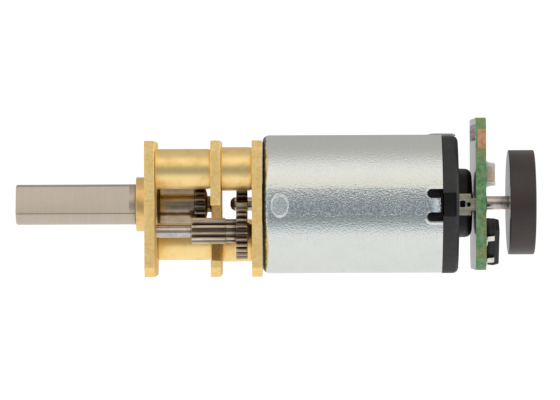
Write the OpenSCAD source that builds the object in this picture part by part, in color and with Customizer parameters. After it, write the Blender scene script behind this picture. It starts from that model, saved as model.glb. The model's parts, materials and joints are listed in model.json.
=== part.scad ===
// Micro geared dc motor with a magnetic encoder on its rear shaft.
// Open two-stage spur gearbox (13:26 and 11:28), 12 x 10 mm section, 3 mm D-shaft.
// Millimetres. +X runs from the output shaft to the encoder, +Z is up.
// The origin is on the shaft axis, in the front face of the gearbox's front plate.

/* [Gearbox frame] */
// Width of the three gearbox plates, across Y
gearbox_w = 12; // [11.6:0.1:12.4]
// Height of the three gearbox plates, across Z
gearbox_h = 10; // [9.8:0.1:10.4]
// How far the plates' centre lies below the shaft axis
plate_drop = 0.35; // [0:0.05:0.4]
// Thickness of each plate
plate_t = 0.75; // [0.6:0.05:0.8]
// Bevel on the plates' four corners
plate_bevel = 0.68; // [0.3:0.02:0.9]
// Front face of the middle plate
middle_x = 4.85; // [4.8:0.05:4.95]
// Front face of the rear plate
rear_x = 7.88; // [7.86:0.02:7.9]
// Distance between the two front mounting holes
mount_spacing = 9; // [8.8:0.1:9.2]
// Diameter of the front mounting holes
mount_hole_d = 1.6; // [1.4:0.1:1.7]
// Distance of each post from the axis, across Y
post_y = 3.9; // [3.8:0.05:4.1]
// Distance of each post from the axis, across Z
post_z = 2.62; // [2.5:0.02:2.7]
// Diameter of the two front posts
front_post_d = 2.96; // [2.6:0.02:3.0]
// Diameter of the two rear posts
rear_post_d = 3.2; // [2.8:0.05:3.2]
// Height of the middle plate's notch around the idler
notch_h = 4.04; // [3.8:0.02:4.1]

/* [Output shaft] */
// Diameter of the output shaft
shaft_d = 3; // [2.9:0.02:3.02]
// Free end of the output shaft, in front of the front plate
shaft_tip = 9.75; // [8:0.05:12]
// Distance from the axis to the D-flat
flat_dist = 1; // [0.9:0.02:1.2]
// Where the D-flat ends, in front of the front plate
flat_end = 1.25; // [1.1:0.05:3]
// Tilt of the D-flat at rest, up from the -Y side
flat_tilt = 20.5; // [0:0.5:45]
// Diameter of the bush's boss
boss_d = 4; // [3.9:0.05:4.4]
// Length of the bush's boss
boss_l = 0.8; // [0.6:0.05:1]

/* [Gear train] */
// Module of all four gears
gear_module = 0.15; // [0.148:0.001:0.151]
// Teeth of the motor pinion
motor_pinion_teeth = 13; // [12:1:13]
// Teeth of the idler's large gear
idler_gear_teeth = 26; // [25:1:26]
// Teeth of the idler's long pinion
idler_pinion_teeth = 11; // [11:1:12]
// Thinning of each tooth at the pitch circle
tooth_thinning = 0.02; // [0.01:0.005:0.03]
// Direction from the idler's axis up to the shaft axis, in degrees from +Y
centre_line = 43.14; // [42:0.02:44]
// Direction of one tooth of the long pinion
pinion_phase = 189.9; // [150:0.1:210]
// Direction of one tooth of the large gear
gear_phase = 184.25; // [150:0.05:210]
// Diameter of the idler's fixed axle
axle_d = 0.95; // [0.9:0.05:1]

/* [Motor] */
// Diameter of the motor can across its round sides
can_d = 12; // [11.9:0.05:12.2]
// Height of the motor can across its flats
can_h = 10.2; // [10:0.05:10.3]
// Front face of the can
can_x0 = 8.67; // [8.66:0.01:8.7]
// Rear rim of the can
can_x1 = 21.87; // [21.8:0.01:22]
// Wall of the can
can_wall = 0.45; // [0.4:0.05:0.5]
// Radius of the can's front edge
can_edge = 0.45; // [0.4:0.05:0.6]
// Diameter of the motor shaft
rotor_shaft_d = 1; // [0.96:0.01:1]
// Rear face of the end cap
cap_x1 = 23.08; // [23:0.02:23.1]
// Diameter of the rear bearing housing on the end cap
housing_d = 5.15; // [4.6:0.05:5.2]
// Rear face of the rear bearing housing
housing_x1 = 24.2; // [24.1:0.02:24.2]

/* [Encoder] */
// Front face of the encoder board
board_x0 = 24.32; // [24.24:0.01:24.4]
// Thickness of the encoder board
board_t = 0.77; // [0.6:0.01:0.8]
// Width of the encoder board, across Y
board_w = 9.8; // [9.6:0.1:11]
// Lower edge of the encoder board
board_z0 = -4.95; // [-5.1:0.05:-4.9]
// Upper edge of the encoder board
board_z1 = 6.2; // [6.1:0.05:6.4]
// Pitch of the six header pads
header_pitch = 1.5; // [1.4:0.05:1.5]
// Diameter of the magnet disc
disc_d = 7.7; // [7.4:0.1:8]
// Front face of the magnet disc
disc_x0 = 26.93; // [26.6:0.01:27]
// Thickness of the magnet disc
disc_t = 1.92; // [1.8:0.01:2.2]

/* [Hidden] */

round_fn = 96;
gap = 0.005;                       // seat clearance between two fixed pieces
run = 0.02;                        // radial running clearance of every bearing
plate_z = -plate_drop;             // centre height of the plates
// both stages share one centre distance
output_gear_teeth = motor_pinion_teeth + idler_gear_teeth - idler_pinion_teeth;
centre_dist = gear_module * (idler_gear_teeth + motor_pinion_teeth) / 2;
idler_y = -centre_dist * cos(centre_line);
idler_z = -centre_dist * sin(centre_line);
output_phase = mate_phase(pinion_phase, centre_line, idler_pinion_teeth, output_gear_teeth);
motor_phase = mate_phase(gear_phase, centre_line, idler_gear_teeth, motor_pinion_teeth);
posts = [[-post_y, post_z], [post_y, -post_z]];
rivet_r = 0.8;
pinion_x0 = 3.40;
pinion_x1 = 5.885;
gear_x0 = 6.70;
gear_x1 = 7.53;
output_gear_x0 = 3.50;
output_gear_x1 = 4.42;
neck_r = 1.5;
bearing_r = 1.2;
terminal_y = 3.6;
terminal_z = -0.12;
notch_z = -2.13;
slot_zs = [0.65, -1.04];          // crimp slots in the can's rim
board_x1 = board_x0 + board_t;
pad_z = 5.2;

// ---- helpers ----

// Direction of a tooth of gear B that meshes with gear A, both measured from +Y towards +Z
function mate_phase(pa, line, za, zb) = line + 180 + (line - pa) * za / zb + 180 / zb;

function involute_angle(a) = tan(a) * 180 / PI - a;

// Half of a tooth's angle at radius r
function half_tooth(z, r) =
    let (rp = gear_module * z / 2, rb = rp * cos(20))
    90 / z - tooth_thinning / 2 / rp * 180 / PI + involute_angle(20)
    - involute_angle(r <= rb ? 0 : acos(rb / r));

// Outline of a spur gear with its tips cut back to tip_r
function gear_outline(z, phase, tip_r) =
    let (
        rp = gear_module * z / 2,
        rb = rp * cos(20),
        rf = rp - 1.25 * gear_module,
        rs = max(rb, rf + 0.01),
        flank = [for (i = [0:4]) rs + (tip_r - rs) * i / 4]
    )
    [for (k = [0:z - 1])
        let (c = phase + k * 360 / z)
        each concat(
            [polar(rf, c - half_tooth(z, rs) - 0.12 * 180 / z)],
            [for (r = flank) polar(r, c - half_tooth(z, r))],
            [for (i = [4:-1:0]) polar(flank[i], c + half_tooth(z, flank[i]))],
            [polar(rf, c + half_tooth(z, rs) + 0.12 * 180 / z)]
        )];

function polar(r, a) = [r * cos(a), r * sin(a)];

// Draws a plane figure across the shaft: its x runs along Y and its y along Z
module across(x0, x1, y = 0, z = 0)
    translate([x0, y, z]) rotate([90, 0, 90]) linear_extrude(x1 - x0) children();

module rod(x0, x1, r, y = 0, z = 0)
    translate([x0, y, z]) rotate([0, 90, 0]) cylinder(h = x1 - x0, r = r, $fn = round_fn);

module tube(x0, x1, r, bore, y = 0, z = 0)
    difference() {
        rod(x0, x1, r, y, z);
        rod(x0 - 0.1, x1 + 0.1, bore, y, z);
    }

// Solid of revolution about the X axis, from [radius, x] points
module turned(points, y = 0, z = 0)
    translate([0, y, z]) rotate([0, 90, 0])
        rotate_extrude($fn = round_fn) polygon(points);

module block(x0, x1, y0, y1, z0, z1)
    translate([x0, y0, z0]) cube([x1 - x0, y1 - y0, z1 - z0]);

module gear(x0, x1, z, phase, y, zc, bore, tip_cut = 0)
    difference() {
        across(x0, x1, y, zc)
            polygon(gear_outline(z, phase, gear_module * (z + 2) / 2 - tip_cut));
        rod(x0 - 0.1, x1 + 0.1, bore, y, zc);
    }

// Round bar with two flats, and a rounded edge at either end
module flatted_bar(x0, x1, r, h, e0, e1)
    intersection() {
        translate([x0, 0, 0]) rotate([0, 90, 0]) rotate_extrude($fn = round_fn) {
            translate([0, e0]) square([r, x1 - x0 - e0 - e1]);
            square([r - max(e0, e1), x1 - x0]);
            if (e0 > 0) {
                square([r - e0, x1 - x0 - e1]);
                translate([r - e0, e0]) circle(e0, $fn = 48);
            }
            if (e1 > 0) {
                translate([0, e0]) square([r - e1, x1 - x0 - e0]);
                translate([r - e1, x1 - x0 - e1]) circle(e1, $fn = 48);
            }
        }
        union() {
            block(x0 + e0, x1 - e1, -r, r, -h / 2, h / 2);
            if (e0 > 0) {
                block(x0, x1 - e1, -r, r, -h / 2 + e0, h / 2 - e0);
                for (s = [-1, 1]) translate([x0 + e0, 0, s * (h / 2 - e0)])
                    rotate([90, 0, 0]) cylinder(h = 2 * r, r = e0, center = true, $fn = 48);
            }
            if (e1 > 0) {
                block(x0 + e0, x1, -r, r, -h / 2 + e1, h / 2 - e1);
                for (s = [-1, 1]) translate([x1 - e1, 0, s * (h / 2 - e1)])
                    rotate([90, 0, 0]) cylinder(h = 2 * r, r = e1, center = true, $fn = 48);
            }
        }
    }

module plate(x0)
    across(x0, x0 + plate_t, 0, plate_z) {
        w = gearbox_w / 2;
        h = gearbox_h / 2;
        c = plate_bevel;
        polygon([[-w + c, -h], [w - c, -h], [w, -h + c], [w, h - c],
                 [w - c, h], [-w + c, h], [-w, h - c], [-w, -h + c]]);
    }

// Turned post between two plates, with a riveted pin through each plate
module post(x0, x1, r, pin_front, pin_rear, p)
    turned([[0, x0 - pin_front], [rivet_r - gap, x0 - pin_front],
            [rivet_r - gap, x0], [r - 0.08, x0], [r, x0 + 0.08],
            [r, x1 - 0.08], [r - 0.08, x1], [rivet_r - gap - 0.1, x1],
            [rivet_r - gap - 0.1, x1 + pin_rear], [0, x1 + pin_rear]], p[0], p[1]);

// ---- gearbox frame ----

module front_plate()
    color("#e3c183") difference() {
        plate(0);
        rod(-1, 1, boss_d / 2 - 0.25);
        rod(-1, 0.05, boss_d / 2 + gap);
        for (s = [-1, 1]) rod(-1, 1, mount_hole_d / 2, s * mount_spacing / 2);
        for (p = posts) rod(-1, 1, rivet_r, p[0], p[1]);
        rod(-1, 1, axle_d / 2 - 0.025 + gap, idler_y, idler_z);
    }

module middle_plate()
    color("#e3c183") difference() {
        plate(middle_x);
        rod(middle_x - 1, middle_x + 1, 0.6 + run);
        for (p = posts) rod(middle_x - 1, middle_x + 1, rivet_r - 0.1, p[0], p[1]);
        rod(middle_x - 1, middle_x + 1, notch_h / 2, idler_y, notch_z);
        block(middle_x - 1, middle_x + 1, -gearbox_w, idler_y,
              notch_z - notch_h / 2, notch_z + notch_h / 2);
    }

module rear_plate()
    color("#e3c183") difference() {
        plate(rear_x);
        rod(rear_x - 1, rear_x + 1, neck_r + gap);
        rod(rear_x - 1, rear_x + 1, axle_d / 2 - 0.075 + gap, idler_y, idler_z);
        for (p = posts) rod(rear_x - 1, rear_x + 1, rivet_r - 0.1, p[0], p[1]);
        for (s = [-1, 1]) {
            rod(rear_x - 1, rear_x + 1, 0.81, s * mount_spacing / 2);
            rod(rear_x - 0.1, rear_x + 0.33, 1.06, s * mount_spacing / 2);
        }
    }

module output_bush()
    color("#d9b06a") difference() {
        turned([[0, -boss_l], [boss_d / 2 - 0.06, -boss_l], [boss_d / 2, -boss_l + 0.06],
                [boss_d / 2, 0.05], [boss_d / 2 - 0.25 - gap, 0.05],
                [boss_d / 2 - 0.25 - gap, 0.82], [0, 0.82]]);
        rod(-2, 2, shaft_d / 2 + run);
    }

module front_post_upper()
    color("#e6c878") post(plate_t, middle_x, front_post_d / 2, plate_t - 0.03, 0, posts[0]);

module front_post_lower()
    color("#e6c878") post(plate_t, middle_x, front_post_d / 2, plate_t - 0.03, 0, posts[1]);

// A rear post's long front pin runs through the middle plate into the front post's end
module rear_post(p)
    turned([[0, middle_x + 0.02], [rivet_r - 0.1 - gap, middle_x + 0.02],
            [rivet_r - 0.1 - gap, middle_x + plate_t], [rear_post_d / 2 - 0.08, middle_x + plate_t],
            [rear_post_d / 2, middle_x + plate_t + 0.08], [rear_post_d / 2, rear_x - 0.08],
            [rear_post_d / 2 - 0.08, rear_x], [rivet_r - 0.1 - gap, rear_x],
            [rivet_r - 0.1 - gap, rear_x + plate_t - 0.03], [0, rear_x + plate_t - 0.03]],
           p[0], p[1]);

module rear_post_upper() color("#e6c878") rear_post(posts[0]);

module rear_post_lower() color("#e6c878") rear_post(posts[1]);

module idler_axle()
    color("#b8ada2")
        turned([[0, 0.03], [axle_d / 2 - 0.025, 0.03], [axle_d / 2 - 0.025, plate_t],
                [axle_d / 2, plate_t], [axle_d / 2, pinion_x0 - 0.05],
                [axle_d / 2 - 0.075, pinion_x0 - 0.05],
                [axle_d / 2 - 0.075, rear_x + plate_t - 0.03], [0, rear_x + plate_t - 0.03]],
               idler_y, idler_z);

module motor_screws()
    color("#8d8f92") for (s = [-1, 1]) difference() {
        union() {
            rod(rear_x + 0.03, rear_x + 0.33, 1.05, s * mount_spacing / 2);
            rod(rear_x + 0.33, can_x0 + can_wall - 0.02, 0.8, s * mount_spacing / 2);
        }
        for (a = [0, 90]) translate([rear_x, s * mount_spacing / 2, 0]) rotate([a, 0, 0])
            cube([0.36, 0.9, 0.18], center = true);
    }

// ---- output shaft ----

module output_shaft()
    color("#b7aea2") difference() {
        r = shaft_d / 2;
        turned([[0, -shaft_tip], [r - 0.15, -shaft_tip], [r - 0.005, -shaft_tip + 0.12],
                [r - 0.005, -flat_end], [r, -flat_end], [r, -boss_l],
                [r - 0.16, -boss_l], [r - 0.16, -boss_l + 0.52], [r, -boss_l + 0.52],
                [r, 0.86], [r - 0.25, 0.86], [r - 0.25, 1.02], [r, 1.02], [r, 3.43],
                [0.83, 3.43], [0.83, output_gear_x1 + 0.01], [1.04, output_gear_x1 + 0.01],
                [1, output_gear_x1 + 0.05], [0.8, output_gear_x1 + 0.1],
                [0.6, output_gear_x1 + 0.13],
                [0.6, middle_x + plate_t], [0, middle_x + plate_t]]);
        rotate([180 - flat_tilt, 0, 0])
            block(-shaft_tip - 1, -flat_end, flat_dist, 3, -3, 3);
    }

module output_gear()
    color("#6f6358") intersection() {
        gear(output_gear_x0, output_gear_x1, output_gear_teeth, output_phase, 0, 0, 0.83 + gap);
        turned([[0, output_gear_x0 - 0.1], [3, output_gear_x0 - 0.1],
                [3, output_gear_x1 - 0.5], [2.02, output_gear_x1 + 0.1],
                [0, output_gear_x1 + 0.1]]);
    }

module retaining_clip()
    color("#3a3430") difference() {
        tube(0.87, 1.01, 1.66, shaft_d / 2 - 0.25 + gap);
        block(0, 2, -0.8, 0.8, -3, 0);
    }

// ---- idler ----

module idler_pinion()
    color("#a89b8d") {
        gear(pinion_x0, pinion_x1, idler_pinion_teeth, pinion_phase, idler_y, idler_z,
             axle_d / 2 - 0.075 + run);
        gear(pinion_x1, gear_x0 - 0.02, idler_pinion_teeth, pinion_phase, idler_y, idler_z,
             axle_d / 2 - 0.075 + run, 0.1);
        tube(gear_x0 - 0.02, gear_x1 + 0.15, 0.62, axle_d / 2 - 0.075 + run, idler_y, idler_z);
        tube(gear_x1 + 0.15, rear_x - 0.04, 0.51, axle_d / 2 - 0.075 + run, idler_y, idler_z);
    }

module idler_gear()
    color("#8f8478")
        gear(gear_x0, gear_x1, idler_gear_teeth, gear_phase, idler_y, idler_z, 0.62 + gap);

// ---- rotor ----

module rotor_shaft()
    color("#b9b2a8") {
        r = rotor_shaft_d / 2;
        turned([[0, 6.25], [r - 0.3, 6.27], [r - 0.12, 6.36], [r, 6.56],
                [r, disc_x0 + disc_t - 0.1], [0, disc_x0 + disc_t - 0.1]]);
    }

module motor_pinion()
    color("#7a6b5c")
        gear(gear_x0, gear_x1, motor_pinion_teeth, motor_phase, 0, 0, rotor_shaft_d / 2 + gap);

// Three poles, each a stem with a curved shoe
module armature_core()
    color("#6c6e72") across(11.4, 17.2) difference() {
        union() {
            circle(1.3, $fn = round_fn);
            for (a = [90, 210, 330]) rotate(a) translate([0, -0.7]) square([3.4, 1.4]);
            intersection() {
                difference() {
                    circle(3.8, $fn = round_fn);
                    circle(3.1, $fn = round_fn);
                }
                for (a = [90, 210, 330]) rotate(a)
                    polygon([[0, 0], polar(6, -50), [6, 0], polar(6, 50)]);
            }
        }
        circle(rotor_shaft_d / 2 + gap, $fn = round_fn);
    }

module armature_windings()
    color("#b5622f") for (a = [90, 210, 330]) rotate([a, 0, 0]) difference() {
        block(10.6, 18, 1.45, 2.65, -1.5, 1.5);
        block(11.38, 17.22, 1, 3, -0.72, 0.72);
    }

module commutator_collar()
    color("#8a5a2c") {
        tube(18.02, 18.68, 1.55, rotor_shaft_d / 2 + gap);
        tube(18.68, 20.9, 0.8, rotor_shaft_d / 2 + gap);
    }

module commutator_segments()
    color("#c7834e") difference() {
        tube(18.7, 20.7, 1.2, 0.8 + gap);
        for (a = [30, 150, 270]) rotate([a, 0, 0]) block(18, 21, 0, 2, -0.1, 0.1);
    }

module thrust_washers()
    color("#e8e4d8") {
        tube(9.98, 10.18, 1.1, rotor_shaft_d / 2 + gap);
        tube(22.3, 22.5, 1.0, rotor_shaft_d / 2 + gap);
    }

module encoder_magnet()
    color("#4a4242") {
        r = disc_d / 2;
        difference() {
            turned([[0, disc_x0], [r - 0.08, disc_x0], [r, disc_x0 + 0.08],
                    [r, disc_x0 + disc_t - 0.08], [r - 0.08, disc_x0 + disc_t],
                    [0, disc_x0 + disc_t]]);
            rod(disc_x0 - 1, disc_x0 + 5, rotor_shaft_d / 2 + gap);
        }
    }

// ---- motor ----

module motor_can()
    color("#c9cdcc") difference() {
        union() {
            flatted_bar(can_x0, can_x1, can_d / 2, can_h, can_edge, 0);
            rod(rear_x + 0.07, can_x0 + 0.1, neck_r);
            block(can_x1 - 1, can_x1 + 1.08, -1.3, 1.3, can_h / 2 - 0.04, can_h / 2 + 0.08);
        }
        flatted_bar(can_x0 + can_wall, can_x1 + 0.01, can_d / 2 - can_wall,
                    can_h - 2 * can_wall, 0.2, 0);
        rod(7, 10, bearing_r);
        for (s = [-1, 1]) rod(can_x0 - 0.1, can_x0 + 1, 0.8 + gap, s * mount_spacing / 2);
        // two crimp slots on each round side, with a tab left between them
        for (s = [-1, 1]) {
            for (z = slot_zs) {
                translate([can_x1 - 0.79, s * can_d / 2, z]) rotate([90, 0, 0])
                    cylinder(h = 1.6, r = 0.33, center = true, $fn = 48);
                block(can_x1 - 0.79, can_x1 + 0.1, s * can_d / 2 - 0.8, s * can_d / 2 + 0.8,
                      z - 0.33, z + 0.33);
            }
            block(can_x1 - 0.14, can_x1 + 0.1, s * can_d / 2 - 0.8, s * can_d / 2 + 0.8,
                  slot_zs[1], slot_zs[0]);
            // punched dimple near the front edge
            translate([9.94, s * (can_d / 2 + 0.02), 0]) rotate([90, 0, 0])
                cylinder(h = 0.2, r = 0.62, center = true, $fn = 48);
        }
    }

module field_magnets()
    color("#3b3d42") for (a = [0, 180]) rotate([a, 0, 0]) across(10.5, 18.4) intersection() {
        difference() {
            circle(5.5, $fn = round_fn);
            circle(4.15, $fn = round_fn);
        }
        polygon([[0, 0], polar(9, -50), polar(9, 0), polar(9, 50)]);
    }

module magnet_springs()
    color("#a7a9ac") for (a = [0, 180]) rotate([a, 0, 0]) across(13.5, 15.5) intersection() {
        difference() {
            circle(4.52, $fn = round_fn);
            circle(4.36, $fn = round_fn);
        }
        polygon([[0, 0], polar(9, 51), polar(9, 90), polar(9, 129)]);
    }

module front_bearing()
    color("#a8743c") tube(8.1, 9.9, bearing_r - gap, rotor_shaft_d / 2 + run);

module end_cap()
    color("#3c3c3d") difference() {
        union() {
            flatted_bar(can_x1, cap_x1, can_d / 2 - 0.03, can_h - 0.04, 0, 0.4);
            flatted_bar(19.2, can_x1 + 0.1, can_d / 2 - can_wall - 0.03,
                        can_h - 2 * can_wall - 0.06, 0, 0);
            translate([cap_x1 - 0.1, 0, 0]) rotate([0, 90, 0]) rotate_extrude($fn = round_fn) {
                square([housing_d / 2, housing_x1 - cap_x1 - 0.4]);
                square([housing_d / 2 - 0.5, housing_x1 - cap_x1 + 0.1]);
                translate([housing_d / 2 - 0.5, housing_x1 - cap_x1 - 0.4])
                    circle(0.5, $fn = 48);
            }
        }
        // brush chamber
        block(19, 22.25, -3.9, 3.9, -2.9, 2.9);
        // rear bearing seat, open behind the bearing
        rod(22, housing_x1 + 1, 1.1);
        rod(21, 22.6, 1.5);
        // terminal slots, and a pocket on each round side for the can's tab
        for (s = [-1, 1]) {
            block(22, cap_x1 + 1, s * terminal_y - 0.15 - gap, s * terminal_y + 0.15 + gap,
                  terminal_z - 0.8 - gap, terminal_z + 0.8 + gap);
            block(can_x1 - 0.1, 22.85, s * 5.45 - 0.65, s * 5.45 + 0.65, -0.97, 0.74);
            block(20.9, can_x1, s * 5.45 - 0.35, s * 5.45 + 0.35, -1.42, 1.03);
        }
        // room for the can's top tongue
        block(can_x1 - 0.1, can_x1 + 1.1, -1.3 - gap, 1.3 + gap, can_h / 2 - 0.05, can_h);
    }

module rear_bearing()
    color("#a8743c") tube(22.65, housing_x1 - 0.15, 1.1 - gap, rotor_shaft_d / 2 + run);

// Stamped strip: a leg inside the cap, a tab outside and a narrow tongue into the board
module terminals()
    color("#b9b08f") for (s = [-1, 1]) difference() {
        translate([0, s * terminal_y, 0]) union() {
            block(19.4, 20.2, -0.15, 0.15, -2.6, terminal_z + 0.8);
            block(20.1, 24.05, -0.15, 0.15, terminal_z - 0.8, terminal_z + 0.8);
            block(24, board_x1 - 0.05, -0.15, 0.15, terminal_z - 0.45, terminal_z + 0.45);
        }
        block(23.2, 23.58, s * terminal_y - 1, s * terminal_y + 1, -0.33, 0.16);
        translate([23.86, s * terminal_y, terminal_z]) rotate([90, 0, 0])
            cylinder(h = 1, r = 0.13, center = true, $fn = 32);
    }

// Leaf from the terminal's leg to a brush pad beside the commutator
module brush_arms()
    color("#c9a465") for (s = [0, 180]) rotate([s, 0, 0]) {
        q = s == 0 ? -1 : 1;
        block(19.45, 20.15, -terminal_y + 0.16, -1.3, q * 2.5 - 0.07, q * 2.5 + 0.07);
        block(19.45, 20.15, -1.44, -1.3, min(q * 2.57, -q * 0.7), max(q * 2.57, -q * 0.7));
        block(19.55, 20.05, -1.301, -1.25, -0.3, 0.3);
    }

// ---- encoder ----

module encoder_board()
    color("#4e8255") difference() {
        across(board_x0, board_x1) {
            w = board_w / 2;
            polygon([[-w + 0.9, board_z0], [w - 0.9, board_z0], [w, board_z0 + 0.9],
                     [w, board_z1 - 0.35], [w - 0.35, board_z1],
                     [-w + 0.35, board_z1], [-w, board_z1 - 0.35], [-w, board_z0 + 0.9]]);
        }
        rod(board_x0 - 1, board_x1 + 1, 0.8);
        for (s = [-1, 1])
            block(board_x0 - 1, board_x1 + 1, s * terminal_y - 0.2, s * terminal_y + 0.2,
                  terminal_z - 0.5, terminal_z + 0.5);
        for (k = [0:5])
            rod(board_x0 - 1, board_x1 + 1, 0.4 + gap, (k - 2.5) * header_pitch, pad_z);
    }

// Places a sensor on each side below the shaft, its pair of leads facing outwards and down
module at_sensors()
    for (s = [-1, 1]) translate([board_x1, s * 2.7, -2.88]) rotate([s * 57, 0, 0]) children();

module hall_sensors()
    color("#33353a") at_sensors() translate([0.06, -1.56, -0.84]) cube([1.08, 3.12, 1.68]);

module hall_sensor_leads()
    color("#c3c2bc") at_sensors() {
        for (p = [[-0.95, -1], [0.95, -1], [0, 1]]) translate([0, p[0] - 0.2, 0]) {
            block(0.01, 0.12, 0, 0.4, p[1] < 0 ? -1.5 : 0.96, p[1] < 0 ? -0.96 : 1.5);
            block(0.01, 0.6, 0, 0.4, p[1] < 0 ? -0.97 : 0.845, p[1] < 0 ? -0.845 : 0.97);
        }
    }

module at_capacitors()
    for (s = [-1, 1]) translate([board_x1, s * 3.3, 2.1]) children();

module capacitor_bodies()
    color("#b08a5e") at_capacitors() block(0.06, 0.7, -0.4, 0.4, -0.53, 0.53);

module capacitor_ends()
    color("#c9c8c4") at_capacitors() for (s = [-1, 1])
        block(0.01, 0.73, -0.42, 0.42, min(s * 0.54, s * 0.85), max(s * 0.54, s * 0.85));

module resistors()
    color("#2c2d30") for (s = [-1, 1]) translate([board_x1, s * 0.65, -3.3])
        block(0.01, 0.4, -0.4, 0.4, -0.8, 0.8);

// Plated eyelet through the board for each pin of a header
module header_pads()
    color("#c8925a") for (k = [0:5]) {
        t = 0.035;
        turned([[0.34, board_x0 - t], [0.62, board_x0 - t], [0.62, board_x0],
                [0.4, board_x0], [0.4, board_x1], [0.62, board_x1],
                [0.62, board_x1 + t], [0.34, board_x1 + t]],
               (k - 2.5) * header_pitch, pad_z);
    }

module solder_joints()
    color("#c8c8c4") for (s = [-1, 1])
        turned([[0, board_x1], [0.85, board_x1], [0.6, board_x1 + 0.08],
                [0, board_x1 + 0.12]], s * terminal_y, terminal_z);

// ---- each node once ----

front_plate();
middle_plate();
rear_plate();
output_bush();
front_post_upper();
front_post_lower();
rear_post_upper();
rear_post_lower();
idler_axle();
motor_screws();
output_shaft();
output_gear();
retaining_clip();
idler_pinion();
idler_gear();
rotor_shaft();
motor_pinion();
armature_core();
armature_windings();
commutator_collar();
commutator_segments();
thrust_washers();
encoder_magnet();
motor_can();
field_magnets();
magnet_springs();
front_bearing();
end_cap();
rear_bearing();
terminals();
brush_arms();
encoder_board();
hall_sensors();
hall_sensor_leads();
capacitor_bodies();
capacitor_ends();
resistors();
header_pads();
solder_joints();
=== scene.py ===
import math

import bmesh
import bpy
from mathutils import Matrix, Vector
from mathutils.geometry import tessellate_polygon
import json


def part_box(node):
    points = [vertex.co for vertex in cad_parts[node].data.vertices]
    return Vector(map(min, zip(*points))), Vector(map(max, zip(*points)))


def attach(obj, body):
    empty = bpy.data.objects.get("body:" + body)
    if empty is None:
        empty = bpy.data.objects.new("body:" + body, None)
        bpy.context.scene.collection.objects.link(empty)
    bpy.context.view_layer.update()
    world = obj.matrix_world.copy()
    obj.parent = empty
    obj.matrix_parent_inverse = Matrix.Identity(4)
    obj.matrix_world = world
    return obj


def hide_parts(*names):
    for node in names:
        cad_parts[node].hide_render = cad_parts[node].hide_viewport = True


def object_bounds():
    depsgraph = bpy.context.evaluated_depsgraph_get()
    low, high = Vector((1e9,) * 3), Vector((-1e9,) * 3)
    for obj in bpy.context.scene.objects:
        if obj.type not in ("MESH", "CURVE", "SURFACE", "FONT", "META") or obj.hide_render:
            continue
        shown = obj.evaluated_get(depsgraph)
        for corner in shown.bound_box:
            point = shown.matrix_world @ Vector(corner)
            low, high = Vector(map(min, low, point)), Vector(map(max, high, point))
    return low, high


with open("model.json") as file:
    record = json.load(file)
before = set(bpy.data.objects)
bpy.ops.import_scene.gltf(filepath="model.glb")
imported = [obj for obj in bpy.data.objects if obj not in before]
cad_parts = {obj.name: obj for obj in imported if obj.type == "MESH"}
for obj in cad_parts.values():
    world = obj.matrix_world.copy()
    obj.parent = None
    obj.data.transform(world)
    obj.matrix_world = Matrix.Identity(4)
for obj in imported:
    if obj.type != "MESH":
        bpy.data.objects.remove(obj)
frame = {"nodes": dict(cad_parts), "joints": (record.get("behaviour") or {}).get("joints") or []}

CAD_BOX = [list(v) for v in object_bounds()]
MM = 0.001
BODY = "gearmotor_frame"


# ---------------------------------------------------------------- shared sizes, read from the frame
def span(node):
    lo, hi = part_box(node)
    return [c / MM for c in lo], [c / MM for c in hi]


FRONT_LO, FRONT_HI = span("front_plate")
MID_LO, MID_HI = span("middle_plate")
REAR_LO, REAR_HI = span("rear_plate")
CAN_LO, CAN_HI = span("motor_can")
CAP_LO, CAP_HI = span("end_cap")
BOARD_LO, BOARD_HI = span("encoder_board")
DISC_LO, DISC_HI = span("encoder_magnet")
SHAFT_LO, SHAFT_HI = span("output_shaft")
JOINT = {j["name"]: j for j in frame["joints"]}
IDLER_Y, IDLER_Z = (c / MM for c in JOINT["idler_spin"]["pos_m"][1:])
MODULE = 0.15


# ---------------------------------------------------------------- mesh helpers (all lengths in mm)
def finish_mesh(name, verts, faces, mats, flat=(), mat_of=None, sharp=32.0, body=BODY, recalc=True):
    me = bpy.data.meshes.new(name)
    me.from_pydata([(x * MM, y * MM, z * MM) for x, y, z in verts], [], faces)
    bm = bmesh.new()
    bm.from_mesh(me)
    bm.faces.ensure_lookup_table()
    for f in bm.faces:
        f.smooth = f.index not in flat
        if mat_of:
            f.material_index = mat_of.get(f.index, 0)
    if recalc:
        bmesh.ops.recalc_face_normals(bm, faces=bm.faces[:])
    bm.to_mesh(me)
    bm.free()
    me.set_sharp_from_angle(angle=math.radians(sharp))
    ob = bpy.data.objects.new(name, me)
    bpy.context.scene.collection.objects.link(ob)
    for m in mats if isinstance(mats, (list, tuple)) else [mats]:
        me.materials.append(m)
    if body:
        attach(ob, body)
    return ob


def arc(cx, cy, r, a0, a1, n):
    return [(cx + r * math.cos(math.radians(a0 + (a1 - a0) * i / n)),
             cy + r * math.sin(math.radians(a0 + (a1 - a0) * i / n))) for i in range(n + 1)]


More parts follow.
